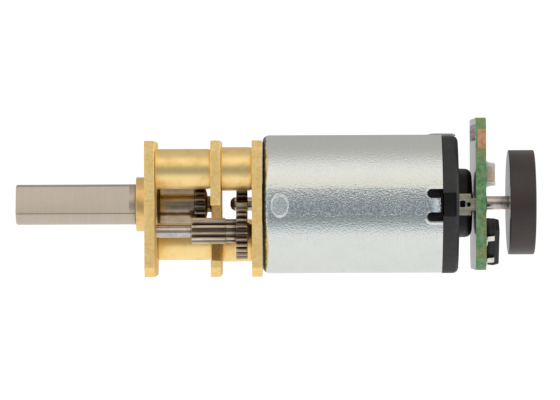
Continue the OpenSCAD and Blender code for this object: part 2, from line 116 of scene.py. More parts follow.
def fillet(points, closed=False, n=5):
    """points are (a, b) or (a, b, radius): corners with a radius become arcs."""
    out = []
    count = len(points)
    for i, p in enumerate(points):
        r = p[2] if len(p) > 2 else 0
        if r <= 0 or (not closed and i in (0, count - 1)):
            out.append((p[0], p[1]))
            continue
        a = Vector(points[i - 1][:2])
        b = Vector(p[:2])
        c = Vector(points[(i + 1) % count][:2])
        u, v = (a - b).normalized(), (c - b).normalized()
        ang = u.angle(v)
        if ang > math.pi - 1e-3:
            out.append((b.x, b.y))
            continue
        t = min(r / math.tan(ang / 2), (a - b).length * 0.49, (c - b).length * 0.49)
        rr = t * math.tan(ang / 2)
        centre = b + (u + v).normalized() * (rr / math.sin(ang / 2))
        s = b + u * t - centre
        e = b + v * t - centre
        turn = s.angle_signed(e)
        for k in range(n + 1):
            w = -turn * k / n
            out.append((centre.x + s.x * math.cos(w) - s.y * math.sin(w),
                        centre.y + s.x * math.sin(w) + s.y * math.cos(w)))
    return out


def revolve(name, profile, mat, body=BODY, y=0.0, z=0.0, segs=96, sharp=32.0, closed=False, phase=0.0):
    """profile is [(x, r) ...] along the X axis. closed=True for a ring that never meets the axis."""
    verts, faces, rings = [], [], []
    for x, r in profile:
        if r < 1e-6:
            rings.append([len(verts)] * segs)
            verts.append((x, y, z))
        else:
            rings.append(list(range(len(verts), len(verts) + segs)))
            for k in range(segs):
                a = phase + 2 * math.pi * k / segs
                verts.append((x, y + r * math.cos(a), z + r * math.sin(a)))
    pairs = list(zip(rings, rings[1:]))
    if closed:
        pairs.append((rings[-1], rings[0]))
    for p, q in pairs:
        for k in range(segs):
            j = (k + 1) % segs
            f = [p[k], p[j], q[j], q[k]]
            f = [v for i, v in enumerate(f) if v not in f[:i]]
            if len(f) > 2:
                faces.append(f)
    return finish_mesh(name, verts, faces, mat, sharp=sharp, body=body)


def inset(loop, d):
    if d == 0:
        return list(loop)
    out = []
    n = len(loop)
    for i in range(n):
        a, b, c = loop[i - 1], loop[i], loop[(i + 1) % n]
        e1 = (b[0] - a[0], b[1] - a[1])
        e2 = (c[0] - b[0], c[1] - b[1])
        l1, l2 = math.hypot(*e1) or 1e-9, math.hypot(*e2) or 1e-9
        n1, n2 = (-e1[1] / l1, e1[0] / l1), (-e2[1] / l2, e2[0] / l2)
        k = max(0.35, 1 + n1[0] * n2[0] + n1[1] * n2[1])
        out.append((b[0] + (n1[0] + n2[0]) / k * d, b[1] + (n1[1] + n2[1]) / k * d))
    return out


def prism(name, loops, x0, x1, mats, bevel=0.05, nb=2, body=BODY, place=None, side_mat=0,
          sharp=32.0, bevel1=None):
    """Plate across X from loops in (y, z): the first counter-clockwise, the holes clockwise."""
    b1 = bevel if bevel1 is None else bevel1
    levels = []
    if bevel > 0:
        for k in range(nb + 1):
            t = math.pi / 2 * k / nb
            levels.append((x0 + bevel * (1 - math.cos(t)), bevel * (1 - math.sin(t))))
    else:
        levels.append((x0, 0))
    if b1 > 0:
        for k in range(nb, -1, -1):
            t = math.pi / 2 * k / nb
            levels.append((x1 - b1 * (1 - math.cos(t)), b1 * (1 - math.sin(t))))
    else:
        levels.append((x1, 0))
    verts, faces, starts = [], [], []
    for x, d in levels:
        row = []
        for lp in loops:
            row.append(len(verts))
            verts += [(x, p[0], p[1]) for p in inset(lp, d)]
        starts.append(row)
    for s0, s1 in zip(starts, starts[1:]):
        for li, lp in enumerate(loops):
            n = len(lp)
            for i in range(n):
                j = (i + 1) % n
                faces.append([s0[li] + i, s0[li] + j, s1[li] + j, s1[li] + i])
    flat = set()
    for lvl, (x, d) in ((0, levels[0]), (len(levels) - 1, levels[-1])):
        flatlist, idx = [], []
        for li, lp in enumerate(loops):
            flatlist.append([Vector((p[0], p[1], 0)) for p in inset(lp, d)])
            idx += [starts[lvl][li] + i for i in range(len(lp))]
        for tri in tessellate_polygon(flatlist):
            flat.add(len(faces))
            faces.append([idx[t] for t in tri])
    mat_of = None
    if side_mat:
        mat_of = {i: (0 if i in flat else side_mat) for i in range(len(faces))}
    if place:
        verts = [place(v) for v in verts]
    return finish_mesh(name, verts, faces, mats, flat=flat, mat_of=mat_of, sharp=sharp, body=body)


def lower(obj, dz):
    """Move a mesh along Z, by a few hundredths of a millimetre."""
    for v in obj.data.vertices:
        v.co.z += dz * MM
    return obj


def circle(cy, cz, r, n=64, hole=False):
    pts = [(cy + r * math.cos(2 * math.pi * k / n), cz + r * math.sin(2 * math.pi * k / n)) for k in range(n)]
    return pts[::-1] if hole else pts


def slab(name, lo, hi, mat, bevel=0.04, nb=2, body=BODY, place=None, taper=0.0):
    """Box with every edge rounded; taper narrows its +X end."""
    bm = bmesh.new()
    bmesh.ops.create_cube(bm, size=1.0)
    c = [(a + b) / 2 for a, b in zip(lo, hi)]
    s = [b - a for a, b in zip(lo, hi)]
    for v in bm.verts:
        k = 1 - taper * (v.co.x + 0.5)
        v.co = Vector((c[0] + v.co.x * s[0], c[1] + v.co.y * s[1] * k, c[2] + v.co.z * s[2] * k))
    if bevel:
        bmesh.ops.bevel(bm, geom=bm.edges[:], offset=bevel, offset_type="OFFSET", segments=nb,
                        profile=0.5, affect="EDGES", clamp_overlap=True)
    verts = [tuple(v.co) for v in bm.verts]
    faces = [[v.index for v in f.verts] for f in bm.faces]
    bm.free()
    if place:
        verts = [place(v) for v in verts]
    return finish_mesh(name, verts, faces, mat, body=body, sharp=40)


def join(name, obs):
    """Merge objects into the first, keeping their material slots."""
    bm = bmesh.new()
    mats, base = [], obs[0]
    for o in obs:
        me = o.data.copy()
        remap = []
        for m in o.data.materials:
            if m not in mats:
                mats.append(m)
            remap.append(mats.index(m))
        for p in me.polygons:
            p.material_index = remap[p.material_index] if remap else 0
        bm.from_mesh(me)
        bpy.data.meshes.remove(me)
    me = bpy.data.meshes.new(name)
    bm.to_mesh(me)
    bm.free()
    for m in mats:
        me.materials.append(m)
    base.data = me
    base.name = name
    for o in obs[1:]:
        bpy.data.objects.remove(o)
    return base


def cut(ob, cutters, op="DIFFERENCE"):
    """Boolean with each cutter in turn, applied; the cutters are removed."""
    for c in cutters:
        m = ob.modifiers.new("cut", "BOOLEAN")
        m.operation = op
        m.solver = "EXACT"
        m.object = c
        bpy.context.view_layer.update()
        dg = bpy.context.evaluated_depsgraph_get()
        me = bpy.data.meshes.new_from_object(ob.evaluated_get(dg), preserve_all_data_layers=True, depsgraph=dg)
        ob.modifiers.clear()
        old = ob.data
        ob.data = me
        bpy.data.meshes.remove(old)
    for c in cutters:
        bpy.data.objects.remove(c)
    return ob


def soften(ob, width, segs=2, angle=30.0, sharp=32.0):
    """Round the sharp edges of a finished mesh by width, in mm."""
    m = ob.modifiers.new("edge", "BEVEL")
    m.width = width * MM
    m.segments = segs
    m.limit_method = "ANGLE"
    m.angle_limit = math.radians(angle)
    m.use_clamp_overlap = True
    m.harden_normals = False
    bpy.context.view_layer.update()
    dg = bpy.context.evaluated_depsgraph_get()
    me = bpy.data.meshes.new_from_object(ob.evaluated_get(dg), preserve_all_data_layers=True, depsgraph=dg)
    ob.modifiers.clear()
    ob.data = me
    for p in me.polygons:
        p.use_smooth = True
    me.set_sharp_from_angle(angle=math.radians(sharp))
    return ob


# ---------------------------------------------------------------- materials
def links(nt):
    return lambda a, b: nt.links.new(a, b)


class Mat:
    """A Principled material with its own coordinates in millimetres."""

    def __init__(self, name, color, metallic=0.0, roughness=0.5, **sockets):
        self.m = bpy.data.materials.new(name)
        self.m.use_nodes = True
        self.nt = self.m.node_tree
        self.bsdf = self.nt.nodes["Principled BSDF"]
        self.bsdf.inputs["Base Color"].default_value = (*color, 1)
        self.bsdf.inputs["Metallic"].default_value = metallic
        self.bsdf.inputs["Roughness"].default_value = roughness
        for k, v in sockets.items():
            self.bsdf.inputs[k.replace("_", " ")].default_value = v
        self.coord = self.nt.nodes.new("ShaderNodeTexCoord")
        self.scale = self.map(1000, 1000, 1000)
        self.height = None

    def node(self, kind, **props):
        n = self.nt.nodes.new(kind)
        for k, v in props.items():
            setattr(n, k, v)
        return n

    def link(self, a, b):
        self.nt.links.new(a, b)

    def map(self, sx, sy, sz, rot=(0, 0, 0)):
        n = self.node("ShaderNodeMapping")
        n.inputs["Scale"].default_value = (sx, sy, sz)
        n.inputs["Rotation"].default_value = rot
        self.link(self.coord.outputs["Object"], n.inputs["Vector"])
        return n.outputs["Vector"]

    def noise(self, scale=1.0, detail=3.0, rough=0.5, stretch=None, distort=0.0, rot=(0, 0, 0)):
        """Noise at `scale` cells per mm, optionally stretched by (x, y, z) factors."""
        n = self.node("ShaderNodeTexNoise")
        n.inputs["Scale"].default_value = scale
        n.inputs["Detail"].default_value = detail
        n.inputs["Roughness"].default_value = rough
        n.inputs["Distortion"].default_value = distort
        v = self.scale if stretch is None else self.map(*(1000 * s for s in stretch), rot=rot)
        self.link(v, n.inputs["Vector"])
        return n.outputs["Fac"]

    def voronoi(self, scale=1.0, feature="F1", stretch=None):
        n = self.node("ShaderNodeTexVoronoi", feature=feature)
        n.inputs["Scale"].default_value = scale
        v = self.scale if stretch is None else self.map(*(1000 * s for s in stretch))
        self.link(v, n.inputs["Vector"])
        return n.outputs["Distance"]

    def ramp(self, fac, stops, interp="LINEAR"):
        n = self.node("ShaderNodeValToRGB")
        n.color_ramp.interpolation = interp
        e = n.color_ramp.elements
        while len(e) < len(stops):
            e.new(0.5)
        for el, (p, c) in zip(e, stops):
            el.position = p
            el.color = (*c, 1) if len(c) == 3 else c
        self.link(fac, n.inputs["Fac"])
        return n.outputs["Color"]

    def range(self, fac, a0, a1, b0, b1):
        n = self.node("ShaderNodeMapRange")
        for k, v in zip(("From Min", "From Max", "To Min", "To Max"), (a0, a1, b0, b1)):
            n.inputs[k].default_value = v
        self.link(fac, n.inputs["Value"])
        return n.outputs["Result"]

    def math(self, op, a, b=None):
        n = self.node("ShaderNodeMath", operation=op)
        for i, v in enumerate((a, b)):
            if v is None:
                continue
            if isinstance(v, (int, float)):
                n.inputs[i].default_value = v
            else:
                self.link(v, n.inputs[i])
        return n.outputs[0]

    def mix(self, fac, a, b, blend="MIX"):
        n = self.node("ShaderNodeMix", data_type="RGBA", blend_type=blend)
        for key, v in (("Factor", fac), ("A", a), ("B", b)):
            sock = [s for s in n.inputs if s.name == key and s.type == ("VALUE" if key == "Factor" else "RGBA")][0]
            if isinstance(v, (int, float)):
                sock.default_value = v
            elif isinstance(v, tuple):
                sock.default_value = (*v, 1)
            else:
                self.link(v, sock)
        return [s for s in n.outputs if s.type == "RGBA"][0]

    def color(self, out):
        self.link(out, self.bsdf.inputs["Base Color"])
        return self

    def rough(self, out):
        self.link(out, self.bsdf.inputs["Roughness"])
        return self

    def bump(self, height, strength=0.3, distance=0.01):
        """height 0..1 stands for `distance` mm."""
        n = self.node("ShaderNodeBump")
        n.inputs["Strength"].default_value = strength
        n.inputs["Distance"].default_value = distance * MM
        self.link(height, n.inputs["Height"])
        if self.height is not None:
            self.link(self.height, n.inputs["Normal"])
        self.height = n.outputs["Normal"]
        self.link(self.height, self.bsdf.inputs["Normal"])
        return self

    def xyz(self):
        n = self.node("ShaderNodeSeparateXYZ")
        self.link(self.scale, n.inputs[0])
        return n.outputs


def brass_turned(name, tint=(1.0, 0.765, 0.35), rough=0.37):
    m = Mat(name, tint, 1.0, rough)
    rings = m.noise(5, 2, 0.6, stretch=(1, 0.05, 0.05))
    tarnish = m.noise(0.9, 5, 0.6)
    fine = m.noise(9, 3, 0.6, stretch=(1, 0.6, 0.6))
    d = tuple(c * f for c, f in zip(tint, (0.86, 0.84, 0.72)))
    b = tuple(min(1, c * f) for c, f in zip(tint, (1.05, 1.05, 1.1)))
    m.color(m.mix(m.range(rings, 0.35, 0.65, 0, 0.15),
                  m.ramp(tarnish, [(0.3, d), (0.5, tint), (0.72, b)]), d))
    m.rough(m.range(tarnish, 0.3, 0.7, rough + 0.06, rough - 0.04))
    m.bump(rings, 0.3, 0.002).bump(fine, 0.5, 0.004)
    return m.m


def brass_plate(name):
    """Sawn and tumbled sheet: broad soft glints, diagonal saw marks, patches of yellow and rose."""
    tint = (1.0, 0.785, 0.345)
    m = Mat(name, tint, 1.0, 0.6)
    saw = m.noise(5, 2, 0.6, stretch=(0.25, 1, 1.3), rot=(0, math.radians(35), 0))
    cloud = m.noise(1.5, 4, 0.65)
    pits = m.noise(5, 3, 0.6)
    m.color(m.mix(m.range(pits, 0.38, 0.66, 0, 0.6),
                  m.ramp(cloud, [(0.32, (1.0, 0.70, 0.24)), (0.48, tint), (0.60, (1.0, 0.85, 0.43)), (0.70, (1.0, 0.77, 0.48))]),
                  (0.95, 0.62, 0.25)))
    m.rough(m.range(cloud, 0.3, 0.7, 0.5, 0.66))
    m.bump(saw, 1.0, 0.045).bump(pits, 1.0, 0.045)
    return m.m


def steel(name, tint, rough, ring=True, dark=0.7, bump=0.004):
    m = Mat(name, tint, 1.0, rough)
    lines = m.noise(12, 2, 0.6, stretch=(1, 0.04, 0.04) if ring else (0.04, 1, 1))
    stain = m.noise(1.4, 5, 0.6)
    d = tuple(c * dark for c in tint)
    m.color(m.mix(m.range(lines, 0.3, 0.7, 0, 0.3), m.ramp(stain, [(0.32, d), (0.6, tint)]), d))
    m.rough(m.range(m.math("ADD", m.math("MULTIPLY", lines, 0.5), m.math("MULTIPLY", stain, 0.5)),
                    0.3, 0.7, max(0.05, rough - 0.07), rough + 0.12))
    m.bump(lines, 0.3, bump)
    return m.m


def ground_shaft(name, tint, rough):
    """Ground round stock with a milled flat: fine rings outside, an even satin flat, and a painted dark line of shade
    along the edge between them.
    """
    m = Mat(name, tint, 1.0, rough)
    rings = m.noise(7, 2, 0.6, stretch=(1, 0.05, 0.05))
    grain = m.noise(8, 3, 0.6, stretch=(0.6, 1, 1))
    cloud = m.noise(0.35, 3, 0.5)
    c = m.xyz()
    ct, st = math.cos(math.radians(180 - 19.7)), math.sin(math.radians(180 - 19.7))
    depth = m.math("ADD", m.math("MULTIPLY", c[1], ct), m.math("MULTIPLY", c[2], st))
    across = m.math("ADD", m.math("MULTIPLY", c[1], -st), m.math("MULTIPLY", c[2], ct))
    # painted shade: a thin dark line along the edge where the flat meets the round
    painted_arris_shade = m.range(m.math("ABSOLUTE", m.math("SUBTRACT", m.math("ABSOLUTE", across), 1.082)), 0.015, 0.05, 1.0, 0.0)
    painted_arris_shade = m.math("MULTIPLY", painted_arris_shade, m.range(depth, 0.95, 1.0, 0.0, 1.0))
    warm = m.ramp(cloud, [(0.3, tuple(c * 0.94 for c in tint)), (0.7, tuple(min(1, c * 1.05) for c in tint))])
    base = m.mix(m.range(grain, 0.35, 0.65, 0, 0.22), warm, tuple(c * 0.8 for c in tint))
    base = m.mix(m.range(rings, 0.4, 0.7, 0, 0.16), base, (0.64, 0.62, 0.60))
    m.color(m.mix(m.math("MULTIPLY", painted_arris_shade, 0.75), base, (0.20, 0.15, 0.11)))
    m.rough(m.range(cloud, 0.3, 0.7, rough - 0.03, rough + 0.05))
    m.bump(rings, 0.3, 0.003).bump(grain, 0.4, 0.004)
    return m.m


def gear_steel(name, tint, rough, axis=(0, 0), span=(0.6, 0.95), oil=(0.10, 0.065, 0.035)):
    """Oiled hobbed teeth: lands stay bright, the flanks and roots darken with brown oil and painted shade."""
    m = Mat(name, tint, 1.0, rough)
    lines = m.noise(10, 2, 0.6, stretch=(0.06, 1, 1))
    stain = m.noise(2.2, 4, 0.6, stretch=(0.3, 1, 1))
    c = m.xyz()
    dy, dz = m.math("SUBTRACT", c[1], axis[0]), m.math("SUBTRACT", c[2], axis[1])
    r = m.math("SQRT", m.math("ADD", m.math("MULTIPLY", dy, dy), m.math("MULTIPLY", dz, dz)))
    # darker towards the tooth roots: partly brown oil, partly painted shade in the gaps between teeth
    root_oil_and_shade = m.range(r, span[0], span[1], 0.85, 0.0)
    metal = m.mix(m.range(stain, 0.4, 0.75, 0, 0.35), m.mix(m.range(lines, 0.3, 0.7, 0, 0.3), tint,
                  tuple(c * 0.7 for c in tint)), oil)
    m.color(m.mix(root_oil_and_shade, metal, oil))
    m.rough(m.range(stain, 0.3, 0.7, rough - 0.05, rough + 0.12))
    m.bump(lines, 0.2, 0.002)
    return m.m


def zinc_can(name):
    m = Mat(name, (0.715, 0.76, 0.745), 1.0, 0.2)
    grain = m.noise(9.0, 1.5, 0.5)
    orange = m.noise(2.6, 2.5, 0.55, distort=0.3)
    cloud = m.noise(0.5, 4, 0.6)
    scratch = m.noise(6, 1, 0.4, stretch=(3.0, 0.10, 0.10))
    fx = m.xyz()[0]
    # painted reflection: the rounded front edge of the drum, below about X 8.9 mm, is painted dark grey and made
    # rougher
    front = m.range(m.math("ADD", fx, m.range(m.noise(3.0, 3, 0.6), 0.3, 0.7, -0.06, 0.06)), 8.87, 8.97, 1.0, 0.0)
    body = m.mix(m.range(grain, 0.35, 0.7, 0, 0.4),
                 m.ramp(cloud, [(0.3, (0.70, 0.745, 0.735)), (0.55, (0.725, 0.77, 0.755)), (0.75, (0.745, 0.785, 0.76))]),
                 (0.62, 0.665, 0.66))
    fz = m.xyz()[2]
    # painted reflection: in the middle band of the sides the zinc is painted bluish with dark flecks, standing in for
    # the reflection of the dark surroundings
    flank = m.math("MULTIPLY", m.range(fz, 0.98, 1.14, 1.0, 0.0), m.range(fz, -1.06, -0.84, 0.0, 1.0))
    reflection_fleck = m.math("MULTIPLY", flank, m.range(m.noise(8.0, 2, 0.6), 0.43, 0.57, 0.0, 0.50))
    body = m.mix(reflection_fleck, m.mix(m.math("MULTIPLY", flank, 0.8), body, (0.665, 0.74, 0.765)), (0.40, 0.455, 0.49))
    m.color(m.mix(front, body, (0.13, 0.135, 0.135)))
    du = m.math("MULTIPLY", m.math("SUBTRACT", fx, 9.93), 1 / 0.70)
    dv = m.math("MULTIPLY", m.math("ADD", fz, 0.10), 1 / 0.90)
    dent = m.range(m.math("ADD", m.math("MULTIPLY", du, du), m.math("MULTIPLY", dv, dv)), 0.50, 0.78, 0.30, 0.0)
    cloud_rough = m.math("ADD", m.range(cloud, 0.3, 0.7, 0.10, 0.14), dent)
    m.rough(m.math("ADD", m.math("ADD", cloud_rough, m.range(scratch, 0.66, 0.74, 0.0, 0.2)),
                   m.math("MULTIPLY", front, 0.2)))
    side = m.math("ADD", m.math("MULTIPLY", flank, 0.6), 0.4)
    coarse = m.math("MULTIPLY", m.math("SUBTRACT", grain, 0.5), side)
    m.bump(coarse, 1.0, 0.050).bump(orange, 0.4, 0.008).bump(m.range(scratch, 0.66, 0.74, 0, 1), 0.4, 0.006)
    return m.m


def black_plastic(name, tint=(0.024, 0.024, 0.025), rough=0.5, grain=9.0):
    m = Mat(name, tint, 0.0, rough, Specular_IOR_Level=0.38)
    g = m.noise(grain, 4, 0.65)
    scuff = m.noise(2.0, 5, 0.6, stretch=(0.6, 1, 1))
    m.color(m.ramp(scuff, [(0.35, tint), (0.62, tuple(c * 1.35 + 0.004 for c in tint)),
                           (0.82, tuple(c * 1.9 + 0.01 for c in tint))]))
    m.rough(m.range(scuff, 0.3, 0.7, rough - 0.08, rough + 0.1))
    m.bump(g, 0.45, 0.012)
    return m.m


def board_mask(name):
    m = Mat(name, (0.035, 0.16, 0.06), 0.0, 0.16, Coat_Weight=0.6, Coat_Roughness=0.08)
    weave = m.node("ShaderNodeTexChecker")
    weave.inputs["Scale"].default_value = 2.6
    m.link(m.scale, weave.inputs["Vector"])
    cloud = m.noise(1.2, 4, 0.6)
    m.color(m.mix(m.range(cloud, 0.3, 0.7, 0, 1), (0.03, 0.15, 0.055), (0.06, 0.22, 0.085)))
    m.rough(m.range(cloud, 0.3, 0.7, 0.12, 0.24))
    m.bump(weave.outputs["Fac"], 0.15, 0.004).bump(m.noise(6, 3, 0.5), 0.25, 0.006)
    return m.m


def board_edge(name):
    """Routed glass-fibre edge: green with olive and brown layers."""
    m = Mat(name, (0.09, 0.22, 0.10), 0.0, 0.5, Specular_IOR_Level=0.4)
    layers = m.noise(5, 3, 0.6, stretch=(1, 0.25, 0.25))
    patch = m.noise(0.75, 3, 0.6)
    mott = m.noise(2.6, 4, 0.7)
    fibre = m.noise(7, 3, 0.6)
    top = m.range(m.xyz()[2], 5.1, 5.8, 0.0, 0.7)
    base = m.mix(m.range(mott, 0.36, 0.64, 0, 1.0), (0.05, 0.205, 0.068), (0.215, 0.40, 0.19))
    base = m.mix(m.range(layers, 0.45, 0.7, 0, 0.55), base, (0.26, 0.38, 0.22))
    base = m.mix(top, base, (0.25, 0.33, 0.12))
    m.color(m.mix(m.range(patch, 0.47, 0.66, 0, 0.85), base,
                  m.ramp(fibre, [(0.34, (0.20, 0.12, 0.05)), (0.5, (0.34, 0.29, 0.12)), (0.66, (0.18, 0.33, 0.13))])))
    m.rough(m.range(fibre, 0.3, 0.7, 0.35, 0.6))
    m.bump(fibre, 0.8, 0.03).bump(mott, 0.6, 0.03)
    return m.m


def plated(name, tint, rough=0.3):
    m = Mat(name, tint, 1.0, rough)
    n = m.noise(3, 4, 0.6)
    m.color(m.ramp(n, [(0.3, tuple(c * 0.72 for c in tint)), (0.6, tint)]))
    m.rough(m.range(n, 0.3, 0.7, rough - 0.06, rough + 0.14))
    m.bump(m.noise(6, 3, 0.6), 0.5, 0.01)
    return m.m


def magnet(name, coat=0.0):
    m = Mat(name, (0.037, 0.027, 0.027), 0.0, 0.42, Specular_IOR_Level=0.46, Coat_Weight=coat, Coat_Roughness=0.12)
    grain = m.noise(16, 4, 0.65)
    cloud = m.noise(0.6, 4, 0.55)
    lines = m.noise(6, 2, 0.6, stretch=(0.15, 0.15, 1))
    m.color(m.mix(m.range(grain, 0.35, 0.7, 0, 0.5),
                  m.ramp(cloud, [(0.3, (0.034, 0.0235, 0.0235)), (0.7, (0.047, 0.033, 0.033))]), (0.062, 0.046, 0.046)))
    m.rough(m.range(grain, 0.3, 0.7, 0.34, 0.5))
    m.bump(grain, 0.5, 0.008).bump(lines, 0.25, 0.006)
    return m.m


def ceramic(name, tint, rough=0.45):
    m = Mat(name, tint, 0.0, rough)
    n = m.noise(5, 4, 0.6)
    m.color(m.ramp(n, [(0.3, tuple(c * 0.75 for c in tint)), (0.6, tint), (0.8, tuple(min(1, c * 1.2) for c in tint))]))
    m.rough(m.range(n, 0.3, 0.7, rough - 0.1, rough + 0.1))
    m.bump(m.noise(12, 3, 0.6), 0.4, 0.006)
    return m.m


IDLER = (IDLER_Y, IDLER_Z)
M = {
    "plate": brass_plate("brass_plate"),
    "post": brass_turned("brass_turned"),
    "bush": brass_turned("brass_bush", (0.88, 0.63, 0.29), 0.36),
    "axle": steel("axle_steel", (0.64, 0.58, 0.54), 0.16),
    "shaft": ground_shaft("shaft_steel", (0.56, 0.505, 0.43), 0.40),
    # a darker, browner copy of the shaft steel for the journal: painted shade
    "shaded_journal": steel("shaded_journal_steel", (0.45, 0.356, 0.252), 0.17),
    "pinion": gear_steel("pinion_steel", (0.90, 0.82, 0.72), 0.5, IDLER, (0.70, 0.91)),
    "gear": gear_steel("gear_steel", (0.58, 0.51, 0.44), 0.36, IDLER, (1.80, 2.04)),
    # darker copies of the gear steel for the output gear and the motor pinion between the plates: painted shade
    "shaded_gear": gear_steel("shaded_gear_steel", (0.44, 0.38, 0.30), 0.3, (0, 0), (1.95, 2.20), oil=(0.075, 0.05, 0.028)),
    "shaded_pinion": gear_steel("shaded_pinion_steel", (0.30, 0.24, 0.19), 0.3, (0, 0), (0.85, 1.1), oil=(0.05, 0.028, 0.016)),
    "tip": steel("rotor_tip_shaded_steel", (0.20, 0.125, 0.08), 0.22),
    # near-black brown steel for the pinion's rear end: painted shadow
    "shadow_end": steel("shadow_end_steel", (0.10, 0.055, 0.035), 0.4),
    "clip": steel("clip_steel", (0.09, 0.075, 0.065), 0.35),
    "screw": steel("screw_steel", (0.45, 0.45, 0.46), 0.3),
    "can": zinc_can("zinc_can"),
    "cap": black_plastic("cap_plastic"),
    "housing": black_plastic("housing_plastic", (0.006, 0.006, 0.0065), 0.4),
    "terminal": plated("terminal_metal", (0.70, 0.66, 0.53), 0.4),
    "mask": board_mask("board_mask"),
    "edge": board_edge("board_edge"),
    "pad": plated("pad_copper", (0.92, 0.50, 0.28), 0.42),
    "via": plated("via_metal", (0.50, 0.42, 0.46), 0.35),
    "tin": plated("tin_plate", (0.80, 0.79, 0.74), 0.22),
    "solder": plated("solder_tin", (0.93, 0.92, 0.87), 0.5),
    "chip": black_plastic("chip_plastic", (0.011, 0.011, 0.013), 0.38, 14),
    "cap_body": ceramic("capacitor_body", (0.74, 0.60, 0.46)),
    "resistor": ceramic("resistor_body", (0.02, 0.02, 0.022), 0.3),
    "magnet": magnet("disc_magnet"),
    "magnet_face": magnet("disc_magnet_face", coat=0.8),
    "ferrite": ceramic("ferrite", (0.045, 0.045, 0.05)),
    "core": steel("core_steel", (0.42, 0.42, 0.43), 0.45),
    "copper": brass_turned("copper_wire", (0.80, 0.36, 0.17), 0.3),
    "bronze": brass_turned("bearing_bronze", (0.62, 0.40, 0.19), 0.4),
    "collar": black_plastic("collar_plastic", (0.20, 0.09, 0.04), 0.45),
    "washer": ceramic("washer_plastic", (0.72, 0.70, 0.64)),
}

# ---------------------------------------------------------------- gearbox plates
W = FRONT_HI[1]
HC = (FRONT_LO[2] + FRONT_HI[2]) / 2
HH = (FRONT_HI[2] - FRONT_LO[2]) / 2
BEV = 0.68
POSTS = [(-3.9, 2.62), (3.9, -2.62)]


def plate_outline():
    w, h, c = W, HH, BEV
    pts = [(-w + c, -h), (w - c, -h), (w, -h + c), (w, h - c), (w - c, h), (-w + c, h), (-w, h - c), (-w, -h + c)]
    return fillet([(y, z + HC, 0.16) for y, z in pts], closed=True, n=4)


def thread(name, x0, x1, y, z, r_major=0.815, r_minor=0.655, pitch=0.35, mat=None, body=BODY):
    """Internal thread: one closed shell, a helical crest inside and a plain wall behind it."""
    na, nx = 48, 40
    verts, faces = [], []
    for i in range(nx + 1):
        x = x0 + (x1 - x0) * i / nx
        for k in range(na):
            a = 2 * math.pi * k / na
            t = ((x - x0) / pitch + k / na) % 1.0
            tri = 1 - abs(2 * t - 1)
            end = min(1, (x - x0) / 0.08, (x1 - x) / 0.08)
            r = 0.80 - (0.80 - r_minor) * max(0, min(1, tri * 1.25 - 0.1)) * max(0.05, end)
            verts.append((x, y + r * math.cos(a), z + r * math.sin(a)))
    for i in (0, nx):
        x = x0 + (x1 - x0) * i / nx
        for k in range(na):
            a = 2 * math.pi * k / na
            verts.append((x, y + r_major * math.cos(a), z + r_major * math.sin(a)))
    o0, o1 = (nx + 1) * na, (nx + 2) * na
    for i in range(nx):
        for k in range(na):
            j = (k + 1) % na
            faces.append([i * na + k, i * na + j, (i + 1) * na + j, (i + 1) * na + k])
    for k in range(na):
        j = (k + 1) % na
        faces.append([k, o0 + k, o0 + j, j])
        faces.append([nx * na + k, nx * na + j, o1 + j, o1 + k])
        faces.append([o0 + k, o1 + k, o1 + j, o0 + j])
    return finish_mesh(name, verts, faces, mat, body=body, sharp=50)


front = prism("front_plate_brass",
              [plate_outline(), circle(0, 0, 1.75, 72, True), circle(-4.5, 0, 0.8, 48, True), circle(4.5, 0, 0.8, 48, True),
               circle(*POSTS[0], 0.8, 48, True), circle(*POSTS[1], 0.8, 48, True),
               circle(IDLER_Y, IDLER_Z, 0.455, 36, True)],
              FRONT_LO[0], FRONT_HI[0], M["plate"], bevel=0.05, nb=3)
threads = [thread("thread_%d" % i, FRONT_LO[0] + 0.05, FRONT_HI[0] - 0.05, y, 0.0, mat=M["plate"])
           for i, y in enumerate((-4.5, 4.5))]
front = join("front_plate_brass", [front] + threads)
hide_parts("front_plate")


def middle_outline():
    """The plate's outline with the open notch on the -Y side."""
    w, h, c = W, HH, BEV
    zc, r = -2.13, 2.02
    pts = [(-w + c, -h + HC, 0.16), (w - c, -h + HC, 0.16), (w, -h + c + HC, 0.16), (w, h - c + HC, 0.16),
           (w - c, h + HC, 0.16), (-w + c, h + HC, 0.16), (-w, h - c + HC, 0.16), (-w, zc + r, 0.12)]
    out = fillet(pts + [(IDLER_Y, zc + r), (IDLER_Y, zc - r), (-w, zc - r, 0.12), (-w, -h + c + HC, 0.16)],
                 closed=True, n=4)
    # swap the notch's straight end for its round one
    i = min(range(len(out)), key=lambda k: math.hypot(out[k][0] - IDLER_Y, out[k][1] - (zc + r)))
    return out[:i] + arc(IDLER_Y, zc, r, 90, -90, 40) + out[i + 2:]


middle = prism("middle_plate_brass",
               [middle_outline(), circle(0, 0, 0.62, 48, True), circle(*POSTS[0], 0.7, 40, True),
                circle(*POSTS[1], 0.7, 40, True)],
               MID_LO[0], MID_HI[0], M["plate"], bevel=0.05, nb=3)
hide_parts("middle_plate")

rear = prism("rear_plate_brass",
             [plate_outline(), circle(0, 0, 1.505, 64, True), circle(-4.5, 0, 1.06, 48, True), circle(4.5, 0, 1.06, 48, True),
              circle(*POSTS[0], 0.7, 40, True), circle(*POSTS[1], 0.7, 40, True),
              circle(IDLER_Y, IDLER_Z, 0.405, 36, True)],
             REAR_LO[0], REAR_HI[0], M["plate"], bevel=0.05, nb=3)
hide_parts("rear_plate")

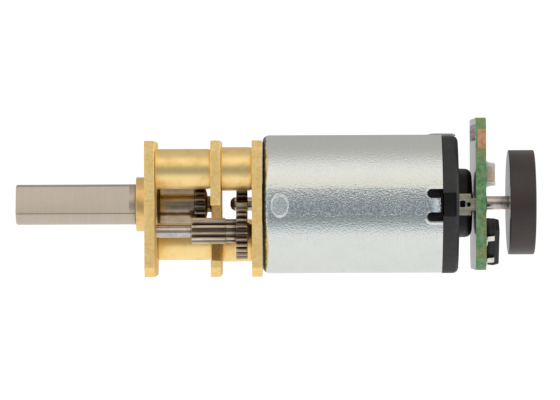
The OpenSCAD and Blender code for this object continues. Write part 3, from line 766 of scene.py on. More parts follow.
# ---------------------------------------------------------------- posts, bush, axle, screws
T = FRONT_HI[0]
MX0, MX1, RX0, RX1 = MID_LO[0], MID_HI[0], REAR_LO[0], REAR_HI[0]
for tag, (py, pz) in zip(("upper", "lower"), POSTS):
    pr = fillet([(0.03, 0), (0.03, 0.795, 0.06), (T, 0.795), (T, 1.38), (T + 0.05, 1.48, 0.04), (MX0 - 0.13, 1.48),
                 (MX0 - 0.13, 1.43, 0.02), (MX0 - 0.06, 1.43, 0.02), (MX0 - 0.06, 1.47), (MX0, 1.44), (MX0, 0)], n=3)
    o = revolve("front_post_%s_brass" % tag, pr, M["post"], y=py, z=pz - (0.04 if pz > 0 else 0.12), segs=112)
    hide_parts("front_post_" + tag)
    pr = fillet([(MX0 + 0.02, 0), (MX0 + 0.02, 0.695), (MX1, 0.695), (MX1, 1.52), (MX1 + 0.06, 1.6, 0.05), (RX0 - 0.14, 1.6),
                 (RX0 - 0.14, 1.55, 0.02), (RX0 - 0.07, 1.55, 0.02), (RX0 - 0.07, 1.585), (RX0, 1.55), (RX0, 0.695),
                 (RX1 - 0.03, 0.695, 0.05), (RX1 - 0.03, 0)], n=3)
    o = revolve("rear_post_%s_brass" % tag, pr, M["post"], y=py, z=pz - (0.04 if pz > 0 else 0.12), segs=112)
    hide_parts("rear_post_" + tag)

pr = fillet([(-0.75, 1.52, 0.03), (-0.75, 2.015, 0.07), (0.02, 2.015), (0.02, 1.745), (0.80, 1.745, 0.03), (0.845, 1.69, 0.02),
             (0.845, 1.52)], closed=True, n=4)
bush = revolve("output_bush_brass", pr, M["bush"], segs=128, closed=True)
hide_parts("output_bush")

pr = fillet([(0.03, 0), (0.03, 0.45, 0.08), (T, 0.45), (T, 0.475), (3.35, 0.475, 0.03), (3.35, 0.4), (RX1 - 0.03, 0.4, 0.05),
             (RX1 - 0.03, 0)], n=4)
axle = revolve("idler_axle_steel", pr, M["axle"], y=IDLER_Y, z=IDLER_Z, segs=64)
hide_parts("idler_axle")

screws = []
for i, y in enumerate((-4.5, 4.5)):
    pr = fillet([(RX0 + 0.04, 0), (RX0 + 0.03, 1.05, 0.08), (RX0 + 0.33, 1.05, 0.02), (RX0 + 0.33, 0.8), (CAN_LO[0] + 1.12, 0.8, 0.05),
                 (CAN_LO[0] + 1.12, 0)], n=3)
    s = revolve("screw_%d" % i, pr, M["screw"], y=y, z=0, segs=64)
    cross = [slab("x1", (RX0 - 0.2, y - 0.45, -0.085), (RX0 + 0.22, y + 0.45, 0.085), M["screw"], 0.02),
             slab("x2", (RX0 - 0.2, y - 0.085, -0.45), (RX0 + 0.22, y + 0.085, 0.45), M["screw"], 0.02)]
    screws.append(cut(s, cross))
screw = join("motor_screws_steel", screws)
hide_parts("motor_screws")


# ---------------------------------------------------------------- gears
def inv(a):
    return math.tan(a) - a


def gear_loop(z, phase, tip, thinning=0.02, root_extra=0.0, flank=6, tipn=3, rootn=3):
    rp = MODULE * z / 2
    rb = rp * math.cos(math.radians(20))
    rf = rp - 1.25 * MODULE + root_extra
    rs = max(rb, rf + 0.02)
    half = lambda r: math.pi / 2 / z - thinning / 2 / rp + inv(math.radians(20)) - (
        inv(math.acos(min(1, rb / r))) if r > rb else 0)
    pts = []
    for k in range(z):
        c = math.radians(phase) + 2 * math.pi * k / z
        hr = half(rs) + 0.10 * math.pi / z
        rows = [(rf, -hr)] + [(rs + (tip - rs) * i / flank, -half(rs + (tip - rs) * i / flank)) for i in range(flank + 1)]
        ht = half(tip)
        rows += [(tip, -ht + 2 * ht * i / tipn) for i in range(1, tipn)]
        rows += [(r, -a) for r, a in reversed([rw for rw in rows[:flank + 2]])]
        gap0, gap1 = hr, 2 * math.pi / z - hr
        rows += [(rf, gap0 + (gap1 - gap0) * i / rootn) for i in range(1, rootn)]
        pts += [(r * math.cos(c + a), r * math.sin(c + a)) for r, a in rows]
    return pts


def shift(loop, y, z):
    return [(a + y, b + z) for a, b in loop]


def mate(pa, line, za, zb):
    return line + 180 + (line - pa) * za / zb + 180 / zb


LINE = math.degrees(math.atan2(-IDLER_Z, -IDLER_Y))
P_PHASE, G_PHASE = 189.9, 184.25
O_PHASE = mate(P_PHASE, LINE, 11, 28)
M_PHASE = mate(G_PHASE, LINE, 26, 13)

lo, hi = span("output_gear")
og = prism("output_gear_steel", [gear_loop(28, O_PHASE, 2.25), circle(0, 0, 0.835, 64, True)], lo[0] + 0.13, hi[0],
           M["shaded_gear"], bevel=0.03, nb=2, body="output", bevel1=0.07)
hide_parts("output_gear")

lo, hi = span("idler_gear")
ig = prism("idler_gear_steel", [shift(gear_loop(26, G_PHASE, 2.1), IDLER_Y, IDLER_Z), circle(IDLER_Y, IDLER_Z, 0.625, 48, True)],
           lo[0], hi[0], M["gear"], bevel=0.03, nb=2, body="idler")
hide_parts("idler_gear")

lo, hi = span("motor_pinion")
mp = prism("motor_pinion_steel", [gear_loop(13, M_PHASE, 1.125), circle(0, 0, 0.505, 40, True)], lo[0], hi[0],
           M["shaded_pinion"], bevel=0.03, nb=2, body="rotor")
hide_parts("motor_pinion")

# long pinion: cut teeth, then a shallower run-out, then the seat of the large gear
bore = circle(IDLER_Y, IDLER_Z, 0.42, 40, True)
pa = prism("pin_a", [shift(gear_loop(11, P_PHASE, 0.975, flank=8), IDLER_Y, IDLER_Z), bore], 3.40, 5.885, M["pinion"],
           bevel=0.03, nb=2, body="idler")
pb = prism("pin_b", [shift(gear_loop(11, P_PHASE, 0.885, root_extra=0.05), IDLER_Y, IDLER_Z), bore], 5.90, 6.675, M["pinion"],
           bevel=0.03, nb=2, body="idler")
pc = revolve("pin_c", fillet([(5.86, 0.42), (5.86, 0.66), (5.93, 0.66), (5.93, 0.60), (7.64, 0.60, 0.04), (7.68, 0.56), (7.68, 0.42)],
                             closed=True, n=3), M["pinion"], body="idler", y=IDLER_Y, z=IDLER_Z, segs=56, closed=True)
# a dark brown ring at the pinion's rear end beside the rear plate: painted shadow of the plate's hole
pd = revolve("pin_d", fillet([(7.66, 0.42), (7.66, 0.505), (REAR_LO[0] - 0.04, 0.505, 0.02), (REAR_LO[0] - 0.04, 0.42)], closed=True, n=3),
             M["shadow_end"], body="idler", y=IDLER_Y, z=IDLER_Z, segs=56, closed=True)
pin = join("idler_pinion_steel", [pa, pb, pc, pd])
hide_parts("idler_pinion")

# ---------------------------------------------------------------- output shaft with its D-flat
TILT = 19.7
TIP = SHAFT_LO[0] + 0.06
pr = fillet([(TIP, 0), (TIP, 1.495, 0.13), (-1.25, 1.495), (-1.25, 1.5), (-0.8, 1.5), (-0.8, 1.36, 0.03), (-0.28, 1.36, 0.03),
             (-0.28, 1.5), (0.86, 1.5, 0.04), (0.86, 1.25, 0.03), (1.02, 1.25, 0.03), (1.02, 1.5, 0.05), (3.615, 1.5, 0.03),
             (3.615, 0.83), (4.43, 0.83), (4.43, 1.04), (4.47, 1.02, 0.03), (4.52, 0.84, 0.04), (4.56, 0.6), (MX1 - 0.06, 0.6), (MX1, 0.54), (MX1, 0)], n=5)
sh = revolve("output_shaft_steel", pr, M["shaft"], body="output", segs=128)
sh.data.materials.append(M["shaded_journal"])
t = math.radians(180 - TILT)


def tilt_place(v):
    x, a, b = v
    return (x, a * math.cos(t) - b * math.sin(t), a * math.sin(t) + b * math.cos(t))


flat_cut = slab("flat_cut", (TIP - 1, 1.04, -3), (-1.25, 3, 3), M["shaft"], 0, place=tilt_place)
cut(sh, [flat_cut])
soften(sh, 0.03, 2, angle=28)
# the journal behind the front plate takes the darker, browner steel: painted shade cast by the post and plate above it
for f in sh.data.polygons:
    f.material_index = 1 if f.center.x > 0.86 * MM else 0
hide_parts("output_shaft")

clip_loop = arc(0, 0, 1.66, -60, 240, 60) + arc(0, 0, 1.255, 240, -60, 60)
clip = prism("retaining_clip_steel", [clip_loop], 0.87, 1.01, M["clip"], bevel=0.02, body="output")
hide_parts("retaining_clip")

# ---------------------------------------------------------------- rotor shaft and magnet disc
lo, hi = span("rotor_shaft")
pr = fillet([(lo[0], 0), (lo[0] + 0.01, 0.2, 0.1), (lo[0] + 0.1, 0.38, 0.1), (lo[0] + 0.3, 0.5, 0.15), (hi[0], 0.5, 0.05), (hi[0], 0)], n=5)
rs = revolve("rotor_shaft_steel", pr, M["axle"], body="rotor", segs=64)
rs.data.materials.append(M["tip"])
# the shaft's front 0.75 mm between the plates is painted dark brown: painted shade
for f in rs.data.polygons:
    f.material_index = 1 if f.center.x < lo[0] * MM + 0.75 * MM else 0
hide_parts("rotor_shaft")

R = DISC_HI[1] + 0.045
pr = fillet([(DISC_LO[0], 0.52, 0.04), (DISC_LO[0], R, 0.1), (DISC_HI[0], R, 0.1), (DISC_HI[0], 0.52, 0.05)], closed=True, n=5)
disc = lower(revolve("encoder_magnet_disc", pr, M["magnet"], body="rotor", segs=160, closed=True), 0.03)
disc.data.materials.append(M["magnet_face"])
for f in disc.data.polygons:
    f.material_index = 1 if abs(f.normal.x) > 0.95 else 0
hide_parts("encoder_magnet")

# ---------------------------------------------------------------- can
R_CAN, H_CAN, RHO = 6.0, 5.1, 1.2


def section(fine=0.5, coarse=3.0, fine_to=22.0):
    """Can section as (y, z, ny, nz) around the axis, dense near the two sides."""
    yc = math.sqrt((R_CAN - RHO) ** 2 - (H_CAN - RHO) ** 2)
    a_t = math.degrees(math.atan2(H_CAN - RHO, yc))
    quarter, a = [], 0.0
    while a < a_t - 0.01:
        quarter.append((R_CAN * math.cos(math.radians(a)), R_CAN * math.sin(math.radians(a)),
                        math.cos(math.radians(a)), math.sin(math.radians(a))))
        a += fine if a < fine_to else coarse
    n = 8
    for i in range(n + 1):
        b = math.radians(a_t + (90 - a_t) * i / n)
        quarter.append((yc + RHO * math.cos(b), H_CAN - RHO + RHO * math.sin(b), math.cos(b), math.sin(b)))
    for i in range(1, 5):
        quarter.append((yc * (1 - i / 4), H_CAN, 0.0, 1.0))
    top = quarter + [(-y, z, -ny, nz) for y, z, ny, nz in quarter[-2::-1]]
    return top + [(y, -z, ny, -nz) for y, z, ny, nz in top[-2:0:-1]]


X0, X1 = CAN_LO[0] + 0.72, 21.87   # front face of the drum, rear rim
X0 = 8.67
SLOT_Z = (0.70, -1.01)
SLOT_H, SLOT_X = 0.335, 21.05      # half height, and the centre of the round end


def slot_gap(x, z):
    """Distance from the nearest crimp slot's edge, positive outside it."""
    best = 9.0
    for zc in SLOT_Z:
        dz = abs(z - zc)
        d = math.hypot(x - SLOT_X, dz) - SLOT_H if x < SLOT_X else dz - SLOT_H
        best = min(best, d)
    return best


def bell(v, w):
    return math.exp(-(v / w) ** 2)


def can_relief(x, y, z):
    """Height of the pressed details on the round sides, in mm."""
    if abs(y) < 4.2:
        return 0.0
    h = 0.0
    if x > 20.2:
        g = slot_gap(x, z)
        tab = abs(z + 0.195) < 0.84 and x > 20.9
        if g > -0.3 and not tab:
            h += 0.045 * bell(g - 0.03, 0.10)
        if tab and abs(z + 0.195) < 0.52:
            h -= 0.34 * ((x - 20.9) / 0.8) ** 2 if x > 20.9 else 0
    if x < 11.6:
        # oval dimple: a raised ring round a flat middle
        q = math.hypot((x - 9.93) / 0.70, (z + 0.10) / 0.90)
        f = min(1.0, max(0.0, (1.0 - q) / 0.28))
        h += 0.10 * f * f * (3 - 2 * f) - 0.045 * bell(q / 0.62, 1.0)
        h += 0.009 * math.sin((x - 9.93) * 2 * math.pi / 0.24) * min(1.0, max(0.0, (0.78 - q) / 0.2))
    return h


SEC = section()
E = 0.50
levels = [(X0 + E * (1 - math.cos(math.radians(b))), E * (1 - math.sin(math.radians(b)))) for b in range(0, 91, 9)]
xs = [X0 + E + 0.03] + [9.2 + 0.055 * i for i in range(1, 32)] + [11.2, 11.6, 12.4, 13.6, 15, 16.4, 17.8, 19.0, 19.8, 20.1]
xs += [20.25 + 0.054 * i for i in range(0, 30)] + [X1]
levels += [(x, 0.0) for x in xs if X0 + E < x <= X1]
WALL = 0.42
verts, faces = [], []
n = len(SEC)
for x, d in levels:
    for y, z, ny, nz in SEC:
        k = can_relief(x, y, z) - d
        verts.append((x, y + ny * k, z + nz * k))
nl = len(levels)
for i in range(nl - 1):
    for k in range(n):
        j = (k + 1) % n
        faces.append([i * n + k, i * n + j, (i + 1) * n + j, (i + 1) * n + k])
inner = [(X1, WALL), (21.3, WALL), (20.7, WALL), (20.0, WALL), (15.0, WALL), (X0 + E, WALL), (X0 + WALL, WALL + 0.12)]
base = len(verts)
for x, d in inner:
    for y, z, ny, nz in SEC:
        k = -d
        if x > 20.2:
            k += min(0.0, can_relief(x, y, z)) if abs(z + 0.195) < 0.52 else 0
        verts.append((x, y + ny * k, z + nz * k))
ni = len(inner)
last = (nl - 1) * n
for k in range(n):
    j = (k + 1) % n
    faces.append([last + k, last + j, base + j, base + k])
for i in range(ni - 1):
    for k in range(n):
        j = (k + 1) % n
        faces.append([base + i * n + k, base + i * n + j, base + (i + 1) * n + j, base + (i + 1) * n + k])
flat = {len(faces), len(faces) + 1}
faces.append(list(range(n)))
faces.append([base + (ni - 1) * n + k for k in range(n)])
can = lower(finish_mesh("motor_can_zinc", verts, faces, M["can"], flat=flat, sharp=38), -0.045)


def slot_cutter(name, zc, s):
    loop = arc(SLOT_X, zc, SLOT_H, 270, 90, 28) + [(X1 + 0.6, zc + SLOT_H), (X1 + 0.6, zc - SLOT_H)]
    # prism runs along its first axis: put that axis on Y
    return prism(name, [loop[::-1]], 4.7, 6.6, M["can"], bevel=0, place=lambda v: (v[1], s * v[0], v[2]))


cutters = []
for s in (-1, 1):
    for i, zc in enumerate(SLOT_Z):
        cutters.append(slot_cutter("slot_%d_%d" % (s, i), zc, s))
    tz0, tz1 = SLOT_Z[1] + SLOT_H - 0.02, SLOT_Z[0] - SLOT_H + 0.02
    cutters.append(slab("tab_end_%d" % s, (X1 - 0.14, min(s * 4.6, s * 6.6), tz0), (X1 + 0.5, max(s * 4.6, s * 6.6), tz1), M["can"], 0))
cut(can, cutters)
for p in can.data.polygons:
    p.use_smooth = True
can.data.set_sharp_from_angle(angle=math.radians(38))

neck = revolve("can_neck", fillet([(RX0 + 0.07, 1.2), (RX0 + 0.07, 1.5, 0.08), (X0 + 0.1, 1.5), (X0 + 0.1, 1.2)], closed=True, n=4),
               M["can"], segs=72, closed=True)
# the tongue on the top flat that hooks over the end cap
tl = fillet([(20.95, 5.06), (20.95, 5.13, 0.03), (21.3, 5.19, 0.1), (22.7, 5.185, 0.15), (22.97, 5.11, 0.06), (22.95, 5.055, 0.02),
             (22.6, 5.075, 0.1), (21.9, 5.075)], closed=True, n=4)
tongue = prism("tongue", [tl], -1.3, 1.3, M["can"], bevel=0.03, place=lambda v: (v[1], v[0], v[2]))
can = join("motor_can_zinc", [can, neck, lower(tongue, -0.06)])
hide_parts("motor_can")

# ---------------------------------------------------------------- end cap
TZ = -0.12
SEC2 = section(fine=1.0, coarse=2.5)
CX0, CX1 = 21.87, 23.08
e = 0.42
lv = [(CX0 + 0.02, 0.35), (CX0 + 0.02, 0.06), (CX0 + 0.06, 0.025), (CX0 + 0.5, 0.025), (CX1 - e, 0.03)]
lv += [(CX1 - e + e * math.sin(math.radians(b)), 0.03 + e * (1 - math.cos(math.radians(b)))) for b in range(10, 91, 10)]
n2 = len(SEC2)
verts = [(x, y - ny * d, z - nz * d) for x, d in lv for y, z, ny, nz in SEC2]
faces = [[i * n2 + k, i * n2 + (k + 1) % n2, (i + 1) * n2 + (k + 1) % n2, (i + 1) * n2 + k]
         for i in range(len(lv) - 1) for k in range(n2)]
flat = {len(faces), len(faces) + 1}
faces.append(list(range(n2)))
faces.append([(len(lv) - 1) * n2 + k for k in range(n2)])
cap = lower(finish_mesh("end_cap_plastic", verts, faces, M["cap"], flat=flat, sharp=38), -0.11)
pockets = []
for s in (-1, 1):
    y0, y1 = sorted((s * 4.95, s * 6.6))
    pockets.append(slab("pocket_%d" % s, (CX0 - 0.4, y0, -0.98), (22.86, y1, 0.75), M["cap"], 0.09, 3))
    y0, y1 = sorted((s * 3.42, s * 3.78))
    pockets.append(slab("tslot_%d" % s, (CX1 - 0.35, y0, TZ - 0.84), (CX1 + 0.4, y1, TZ + 0.84), M["cap"], 0.0))
cut(cap, pockets)
for p in cap.data.polygons:
    p.use_smooth = True
cap.data.set_sharp_from_angle(angle=math.radians(38))
SEC3 = section(fine=2.0, coarse=3.0)
# the walls of the side pockets take the darker housing plastic: painted shade in the pocket
cap.data.materials.append(M["housing"])
for f in cap.data.polygons:
    c = f.center / MM
    shaded_pocket_face = c.x < 22.88 and -1.0 < c.z < 0.77 and 4.9 < abs(c.y) < 6.2
    if shaded_pocket_face and (abs(c.y) < 5.3 or abs(f.normal.z) > 0.6 or abs(f.normal.x) > 0.6):
        f.material_index = 1
plug = prism("plug", [inset([(y, z) for y, z, _, _ in SEC3], 0.5)], 19.3, CX0 + 0.1, M["cap"], bevel=0.05)
pits = []
for s in (-1, 1):
    y0, y1 = sorted((s * 4.95, s * 6.0))
    pits.append(slab("pit_%d" % s, (20.55, y0, -1.43), (CX0 + 0.5, y1, 1.05), M["cap"], 0))
cut(plug, pits)
HR = 2.575
hp = fillet([(CX1 - 0.1, 0), (CX1 - 0.1, HR), (24.2, HR - 0.04, 0.5), (24.2, 1.35, 0.05), (24.05, 1.30, 0.03), (24.05, 0.95),
             (24.0, 0.53), (23.6, 0.53), (23.6, 0)], n=10)
housing = revolve("housing", hp, M["housing"], segs=112)
cap = join("end_cap_plastic", [cap, plug, housing])
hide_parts("end_cap")

# ---------------------------------------------------------------- terminals
terms = []
for s in (-1, 1):
    ty = 3.6
    outer = fillet([(22.4, TZ - 0.79, 0.05), (24.05, TZ - 0.79, 0.08), (24.05, TZ - 0.45, 0.04), (25.0, TZ - 0.45, 0.06), (25.0, TZ + 0.45, 0.06),
                    (24.05, TZ + 0.45, 0.04), (24.05, TZ + 0.79, 0.08), (22.4, TZ + 0.79, 0.05)], closed=True, n=4)
    sq = fillet([(23.21, -0.32, 0.05), (23.21, 0.15, 0.05), (23.57, 0.15, 0.05), (23.57, -0.32, 0.05)], closed=True, n=3)
    hole = [(23.86 + 0.12 * math.cos(-a), TZ + 0.17 * math.sin(-a)) for a in [2 * math.pi * k / 32 for k in range(32)]]
    tm = prism("term_%d" % s, [outer, sq, hole], 0, 0.3, M["terminal"], bevel=0.04, nb=3,
               place=lambda v, s=s: (v[1], s * (ty + 0.15) - s * v[0], v[2]))
    # the frame pressed up around the square hole, in brighter solder metal as a painted highlight
    rim_o = fillet([(23.12, -0.41, 0.08), (23.66, -0.41, 0.08), (23.66, 0.24, 0.08), (23.12, 0.24, 0.08)], closed=True, n=3)
    rim = prism("rim_%d" % s, [rim_o, sq], 0, 0.12, M["terminal"], bevel=0.05, nb=3,
                place=lambda v, s=s: (v[1], s * (ty + 0.21) - s * v[0], v[2]))
    rim.data.materials[0] = M["solder"]
    terms += [tm, rim]
term = join("terminals_metal", terms)
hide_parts("terminals")

# ---------------------------------------------------------------- encoder board
bw, bz0, bz1 = BOARD_HI[1], BOARD_LO[2], BOARD_HI[2] + 0.06
outline = fillet([(-bw + 0.9, bz0, 0.2), (bw - 0.9, bz0, 0.2), (bw, bz0 + 0.9, 0.2), (bw, bz1 - 0.35, 0.15), (bw - 0.35, bz1, 0.15),
                  (-bw + 0.35, bz1, 0.15), (-bw, bz1 - 0.35, 0.15), (-bw, bz0 + 0.9, 0.2)], closed=True, n=4)
holes = [circle(0, 0, 0.8, 48, True)]
for s in (-1, 1):
    holes.append(fillet([(s * 3.6 - 0.2, TZ - 0.5, 0.08), (s * 3.6 - 0.2, TZ + 0.5, 0.08), (s * 3.6 + 0.2, TZ + 0.5, 0.08), (s * 3.6 + 0.2, TZ - 0.5, 0.08)],
                        closed=True, n=3))
for k in range(6):
    holes.append(circle((k - 2.5) * 1.5, 5.2, 0.405, 36, True))
board = prism("encoder_board_fr4", [outline] + holes, BOARD_LO[0], BOARD_HI[0], [M["mask"], M["edge"]], bevel=0.02, nb=1, side_mat=1)
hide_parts("encoder_board")

pads = []
B0, B1 = BOARD_LO[0], BOARD_HI[0]
for k in range(6):
    y = (k - 2.5) * 1.5
    pr = fillet([(B0 - 0.018, 0.34, 0.01), (B0 - 0.018, 0.62, 0.01), (B0 + 0.001, 0.62), (B0 + 0.001, 0.4), (B1 - 0.001, 0.4), (B1 - 0.001, 0.62),
                 (B1 + 0.018, 0.62, 0.01), (B1 + 0.018, 0.34, 0.01)], closed=True, n=3)
    pads.append(revolve("pad_%d" % k, pr, M["via"], y=y, z=5.2, segs=48, closed=True))
# bare copper left on the routed edges beside the header
for s in (-1, 1):
    y0, y1 = sorted((s * (bw - 0.03), s * (bw + 0.004)))
    pads.append(slab("edge_cu_%d" % s, (B0 + 0.16, y0, 3.98), (B1 + 0.003, y1, 5.42), M["pad"], 0.01, 1))
pad = join("header_pads_copper", pads)
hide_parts("header_pads")


# ---------------------------------------------------------------- encoder components
def tilted(cy, cz, deg):
    a = math.radians(deg)
    return lambda v: (B1 + v[0], cy + v[1] * math.cos(a) - v[2] * math.sin(a), cz + v[1] * math.sin(a) + v[2] * math.cos(a))


bodies, leads = [], []
for s in (-1, 1):
    pl = tilted(s * 2.7, -2.88, s * 57)
    lo_h = slab("chip_a", (0.06, -1.56, -0.84), (0.56, 1.56, 0.84), M["chip"], 0.05, 2, place=None)
    for o, d in ((lo_h, -1),):
        for v in o.data.vertices:
            v.co = Vector(c * MM for c in pl(((v.co.x / MM), v.co.y / MM * (1 - 0.035 * (0.56 - v.co.x / MM) / 0.5), v.co.z / MM * (1 - 0.06 * (0.56 - v.co.x / MM) / 0.5))))
    up_h = slab("chip_b", (0.54, -1.56, -0.84), (1.01, 1.56, 0.84), M["chip"], 0.06, 3, place=None)
    for v in up_h.data.vertices:
        f = max(0.0, (v.co.x / MM - 0.58) / 0.43)
        v.co = Vector(c * MM for c in pl((v.co.x / MM, v.co.y / MM * (1 - 0.05 * f), v.co.z / MM * (1 - 0.11 * f))))
    bodies += [lo_h, up_h]
    for dy, sd in ((-0.95, -1), (0.95, -1), (0, 1)):
        # gull-wing lead: out of the body, down to the board, then a flat foot
        path = [(0.61, 0.80), (0.61, 0.90, 0.06), (0.58, 0.99, 0.1), (0.075, 1.08, 0.12), (0.055, 1.50)]
        top = fillet([(p[0] + 0.055, p[1] + (0.02 if i in (2, 3) else 0), *(p[2:] if len(p) > 2 else ())) for i, p in enumerate(path)], n=4)
        bot = fillet([(p[0] - 0.055, p[1] - (0.07 if i in (2, 3) else 0), *(p[2:] if len(p) > 2 else ())) for i, p in enumerate(path)], n=4)
        loop = top + bot[::-1]
        loop = [(a, b) for a, b in loop]
        area = sum(loop[i - 1][0] * loop[i][1] - loop[i][0] * loop[i - 1][1] for i in range(len(loop)))
        if area < 0:
            loop = loop[::-1]
        leads.append(prism("lead", [loop], dy - 0.21, dy + 0.21, M["tin"], bevel=0.02, nb=2,
                           place=lambda v, pl=pl, sd=sd: pl((v[1], v[0], sd * v[2]))))
        # solder under the foot
        leads.append(slab("solder", (0.0, dy - 0.27, min(sd * 1.1, sd * 1.6)), (0.07, dy + 0.27, max(sd * 1.1, sd * 1.6)), M["tin"], 0.03, 2,
                          place=lambda v, pl=pl: pl(v)))
chips = join("hall_sensors_body", bodies)
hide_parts("hall_sensors")
lead = join("hall_sensor_leads_tin", leads)
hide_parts("hall_sensor_leads")

cb, ce = [], []
for s in (-1, 1):
    cy, cz = s * 3.3, 2.1
    cb.append(slab("cb", (B1 + 0.06, cy - 0.4, cz - 0.57), (B1 + 0.70, cy + 0.4, cz + 0.57), M["cap_body"], 0.04, 2))
    for q in (-1, 1):
        z0, z1 = sorted((cz + q * 0.53, cz + q * 0.85))
        ce.append(slab("ce", (B1 + 0.01, cy - 0.42, z0), (B1 + 0.73, cy + 0.42, z1), M["solder"], 0.08, 3))
        # solder fillet against the end face
        fl = [(0.0, 0.80), (0.0, 1.02), (0.07, 0.98), (0.17, 0.92), (0.33, 0.87), (0.45, 0.85), (0.45, 0.80)]
        fl = [(a, q * b) for a, b in fl]
        area = sum(fl[i - 1][0] * fl[i][1] - fl[i][0] * fl[i - 1][1] for i in range(len(fl)))
        if area < 0:
            fl = fl[::-1]
        ce.append(prism("fl", [fl], cy - 0.38, cy + 0.38, M["solder"], bevel=0.02, nb=2,
                        place=lambda v, cz=cz: (B1 + v[1], v[0], cz + v[2])))
body_c = join("capacitor_body_ceramic", cb)
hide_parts("capacitor_bodies")
ends_c = join("capacitor_ends_tin", ce)
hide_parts("capacitor_ends")

rsb = []
for s in (-1, 1):
    cy, cz = s * 0.65, -3.3
    rsb.append(slab("rb", (B1 + 0.03, cy - 0.4, cz - 0.52), (B1 + 0.38, cy + 0.4, cz + 0.52), M["resistor"], 0.03, 2))
    for q in (-1, 1):
        z0, z1 = sorted((cz + q * 0.5, cz + q * 0.8))
        rsb.append(slab("re", (B1 + 0.01, cy - 0.41, z0), (B1 + 0.4, cy + 0.41, z1), M["tin"], 0.05, 3))
res = join("resistors_chip", rsb)
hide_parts("resistors")

sj = []
for s in (-1, 1):
    pr = fillet([(B1 - 0.02, 0), (B1 - 0.02, 0.86), (B1, 0.85), (B1 + 0.03, 0.74, 0.1), (B1 + 0.09, 0.5, 0.2), (B1 + 0.115, 0.2, 0.2), (B1 + 0.12, 0)], n=5)
    sj.append(revolve("sj", pr, M["tin"], y=s * 3.6, z=TZ, segs=48))
solder = join("solder_joints_tin", sj)
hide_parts("solder_joints")

# ---------------------------------------------------------------- sealed inner CAD nodes keep their shape and get real materials
INNER = {"armature_core": "core", "armature_windings": "copper", "commutator_collar": "collar", "commutator_segments": "copper",
         "thrust_washers": "washer", "field_magnets": "ferrite", "magnet_springs": "axle", "front_bearing": "bronze",
         "rear_bearing": "bronze", "brush_arms": "bush"}
for node, key in INNER.items():
    o = frame["nodes"][node]
    if not o.material_slots:
        o.data.materials.append(M[key])
    for sl in o.material_slots:
        sl.material = M[key]

# ---------------------------------------------------------------- floor, light, camera
def floor_material():
    m = Mat("floor_paper", (0.90, 0.90, 0.90), 0.0, 0.9)
    n = m.noise(0.02, 3, 0.5)
    m.color(m.ramp(n, [(0.3, (0.895, 0.895, 0.90)), (0.7, (0.91, 0.91, 0.91))]))
    m.bump(m.noise(2, 3, 0.5), 0.05, 0.02)
    m.bsdf.inputs["Emission Color"].default_value = (1.0, 1.0, 1.0, 1)
    m.bsdf.inputs["Emission Strength"].default_value = 0.26
    seen = m.node("ShaderNodeLightPath")
    paper = m.node("ShaderNodeEmission")
    paper.inputs["Strength"].default_value = 1.05
    mix = m.node("ShaderNodeMixShader")
    m.link(seen.outputs["Is Camera Ray"], mix.inputs[0])
    m.link(m.bsdf.outputs[0], mix.inputs[1])
    m.link(paper.outputs[0], mix.inputs[2])
    m.link(mix.outputs[0], m.nt.nodes["Material Output"].inputs["Surface"])
    return m.m


# a lit white table below the object
fl = fillet([(-190.0, -26.0, 8), (210.0, -26.0, 8), (210.0, 62.0, 12), (-190.0, 62.0, 12)], closed=True, n=8)
floor = finish_mesh("floor", [(x, y, -20.0) for x, y in fl], [list(range(len(fl)))], floor_material(), flat={0}, body=None, recalc=False)

world = bpy.data.worlds.new("studio")
bpy.context.scene.world = world
world.use_nodes = True
nt = world.node_tree
bg = nt.nodes["Background"]
tc = nt.nodes.new("ShaderNodeTexCoord")
sep = nt.nodes.new("ShaderNodeSeparateXYZ")
nt.links.new(tc.outputs["Generated"], sep.inputs[0])


def wm(op, a, b=None, c=None):
    nd = nt.nodes.new("ShaderNodeMath")
    nd.operation = op
    for i, v in enumerate((a, b, c)):
        if v is None:
            continue
        if isinstance(v, (int, float)):
            nd.inputs[i].default_value = v
        else:
            nt.links.new(v, nd.inputs[i])
    return nd.outputs[0]


# brightness around the X axis, from straight down the -Y side (0 degrees) up and over
LIGHT = [(-180, 0.55, 0), (-160, 0.65, 0), (-105, 1.0, 0), (-75, 1.0, 0), (-50, 1.0, -1), (-44, 0.97, -1), (-38, 0.92, -1),
         (-32, 0.60, -1), (-26, 0.42, -1), (-14, 0.30, -1), (-5, 0.27, -1), (-2, 0.47, -1), (2, 0.47, -1), (5, 0.25, -1),
         (12, 0.20, -1), (15, 0.47, -1), (18, 0.91, .5), (26, 1.0, 1), (36, 1.05, 1), (48, 1.09, 0.5), (57, 1.02, 0.5), (65, 0.84, 0.5),
         (74, 0.65, 0.5), (88, 0.57, 0.5), (108, 0.57, 0.5), (150, 0.53, 0.5), (180, 0.55, 0)]
TINT = {-1: (0.93, 0.965, 1.0), 0: (1.0, 1.0, 1.0), 0.5: (1.0, 0.945, 0.905), 1: (1.0, 0.925, 0.83)}
ang = wm("ARCTAN2", sep.outputs[2], wm("MULTIPLY", sep.outputs[1], -1.0))
ramp = nt.nodes.new("ShaderNodeValToRGB")
els = ramp.color_ramp.elements
while len(els) < len(LIGHT):
    els.new(0.5)
for el, (deg, v, k) in zip(els, LIGHT):
    el.position = 0.5 + deg / 360
    el.color = (*(v * c / 1.2 for c in TINT[k]), 1)
nt.links.new(wm("ADD", wm("MULTIPLY", ang, 1 / (2 * math.pi)), 0.5), ramp.inputs["Fac"])
ends = nt.nodes.new("ShaderNodeMapRange")
ends.interpolation_type = "SMOOTHSTEP"
ends.inputs["From Min"].default_value = 0.45
ends.inputs["From Max"].default_value = 0.85
nt.links.new(wm("ABSOLUTE", sep.outputs[0]), ends.inputs["Value"])
blend = nt.nodes.new("ShaderNodeMix")
blend.data_type = "RGBA"
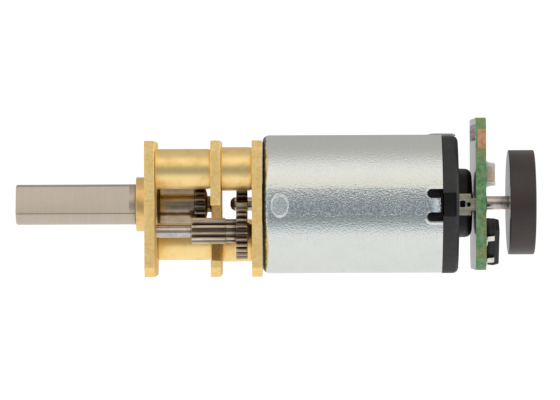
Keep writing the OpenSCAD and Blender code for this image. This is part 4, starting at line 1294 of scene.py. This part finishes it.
nt.links.new(ends.outputs["Result"], blend.inputs[0])
nt.links.new(ramp.outputs["Color"], blend.inputs[6])
blend.inputs[7].default_value = (0.75, 0.76, 0.77, 1)
nt.links.new(blend.outputs[2], bg.inputs["Color"])
lp = nt.nodes.new("ShaderNodeLightPath")
white = nt.nodes.new("ShaderNodeBackground")
white.inputs["Color"].default_value = (1, 1, 1, 1)
white.inputs["Strength"].default_value = 1.05
bg.inputs["Strength"].default_value = 1.2
mixn = nt.nodes.new("ShaderNodeMixShader")
nt.links.new(lp.outputs["Is Camera Ray"], mixn.inputs[0])
nt.links.new(bg.outputs[0], mixn.inputs[1])
nt.links.new(white.outputs[0], mixn.inputs[2])
nt.links.new(mixn.outputs[0], nt.nodes["World Output"].inputs["Surface"])


def area(name, loc, size, power, target=(6, 0, 0), color=(1, 1, 1)):
    ld = bpy.data.lights.new(name, "AREA")
    ld.shape = "RECTANGLE"
    ld.size, ld.size_y = size[0] * MM, size[1] * MM
    ld.energy = power
    ld.color = color
    ob = bpy.data.objects.new(name, ld)
    ob.location = Vector(loc) * MM
    ob.rotation_mode = "QUATERNION"
    ob.rotation_quaternion = (Vector(target) - Vector(loc)).to_track_quat("-Z", "Y")
    bpy.context.scene.collection.objects.link(ob)
    return ob


area("softbox_side", (330, 90, 170), (150, 150), 0.25, color=(1.0, 0.985, 0.96))

cam_data = bpy.data.cameras.new("camera")
cam = bpy.data.objects.new("camera", cam_data)
bpy.context.scene.collection.objects.link(cam)
cam.location = (9.60 * MM, -320.0 * MM, 0.0)
cam.rotation_mode = "XYZ"
cam.rotation_euler = (math.radians(90), math.radians(0.258), 0)
cam_data.lens = 276.07
cam_data.sensor_width = 36.0
cam_data.shift_x = 4.7 / 560
cam_data.shift_y = 3.71 / 560
cam_data.clip_start = 0.01
cam_data.clip_end = 20.0
bpy.context.scene.camera = cam

vs = bpy.context.scene.view_settings
vs.view_transform = "Standard"
vs.look = "None"
vs.exposure = 0.0
vs.gamma = 1.0
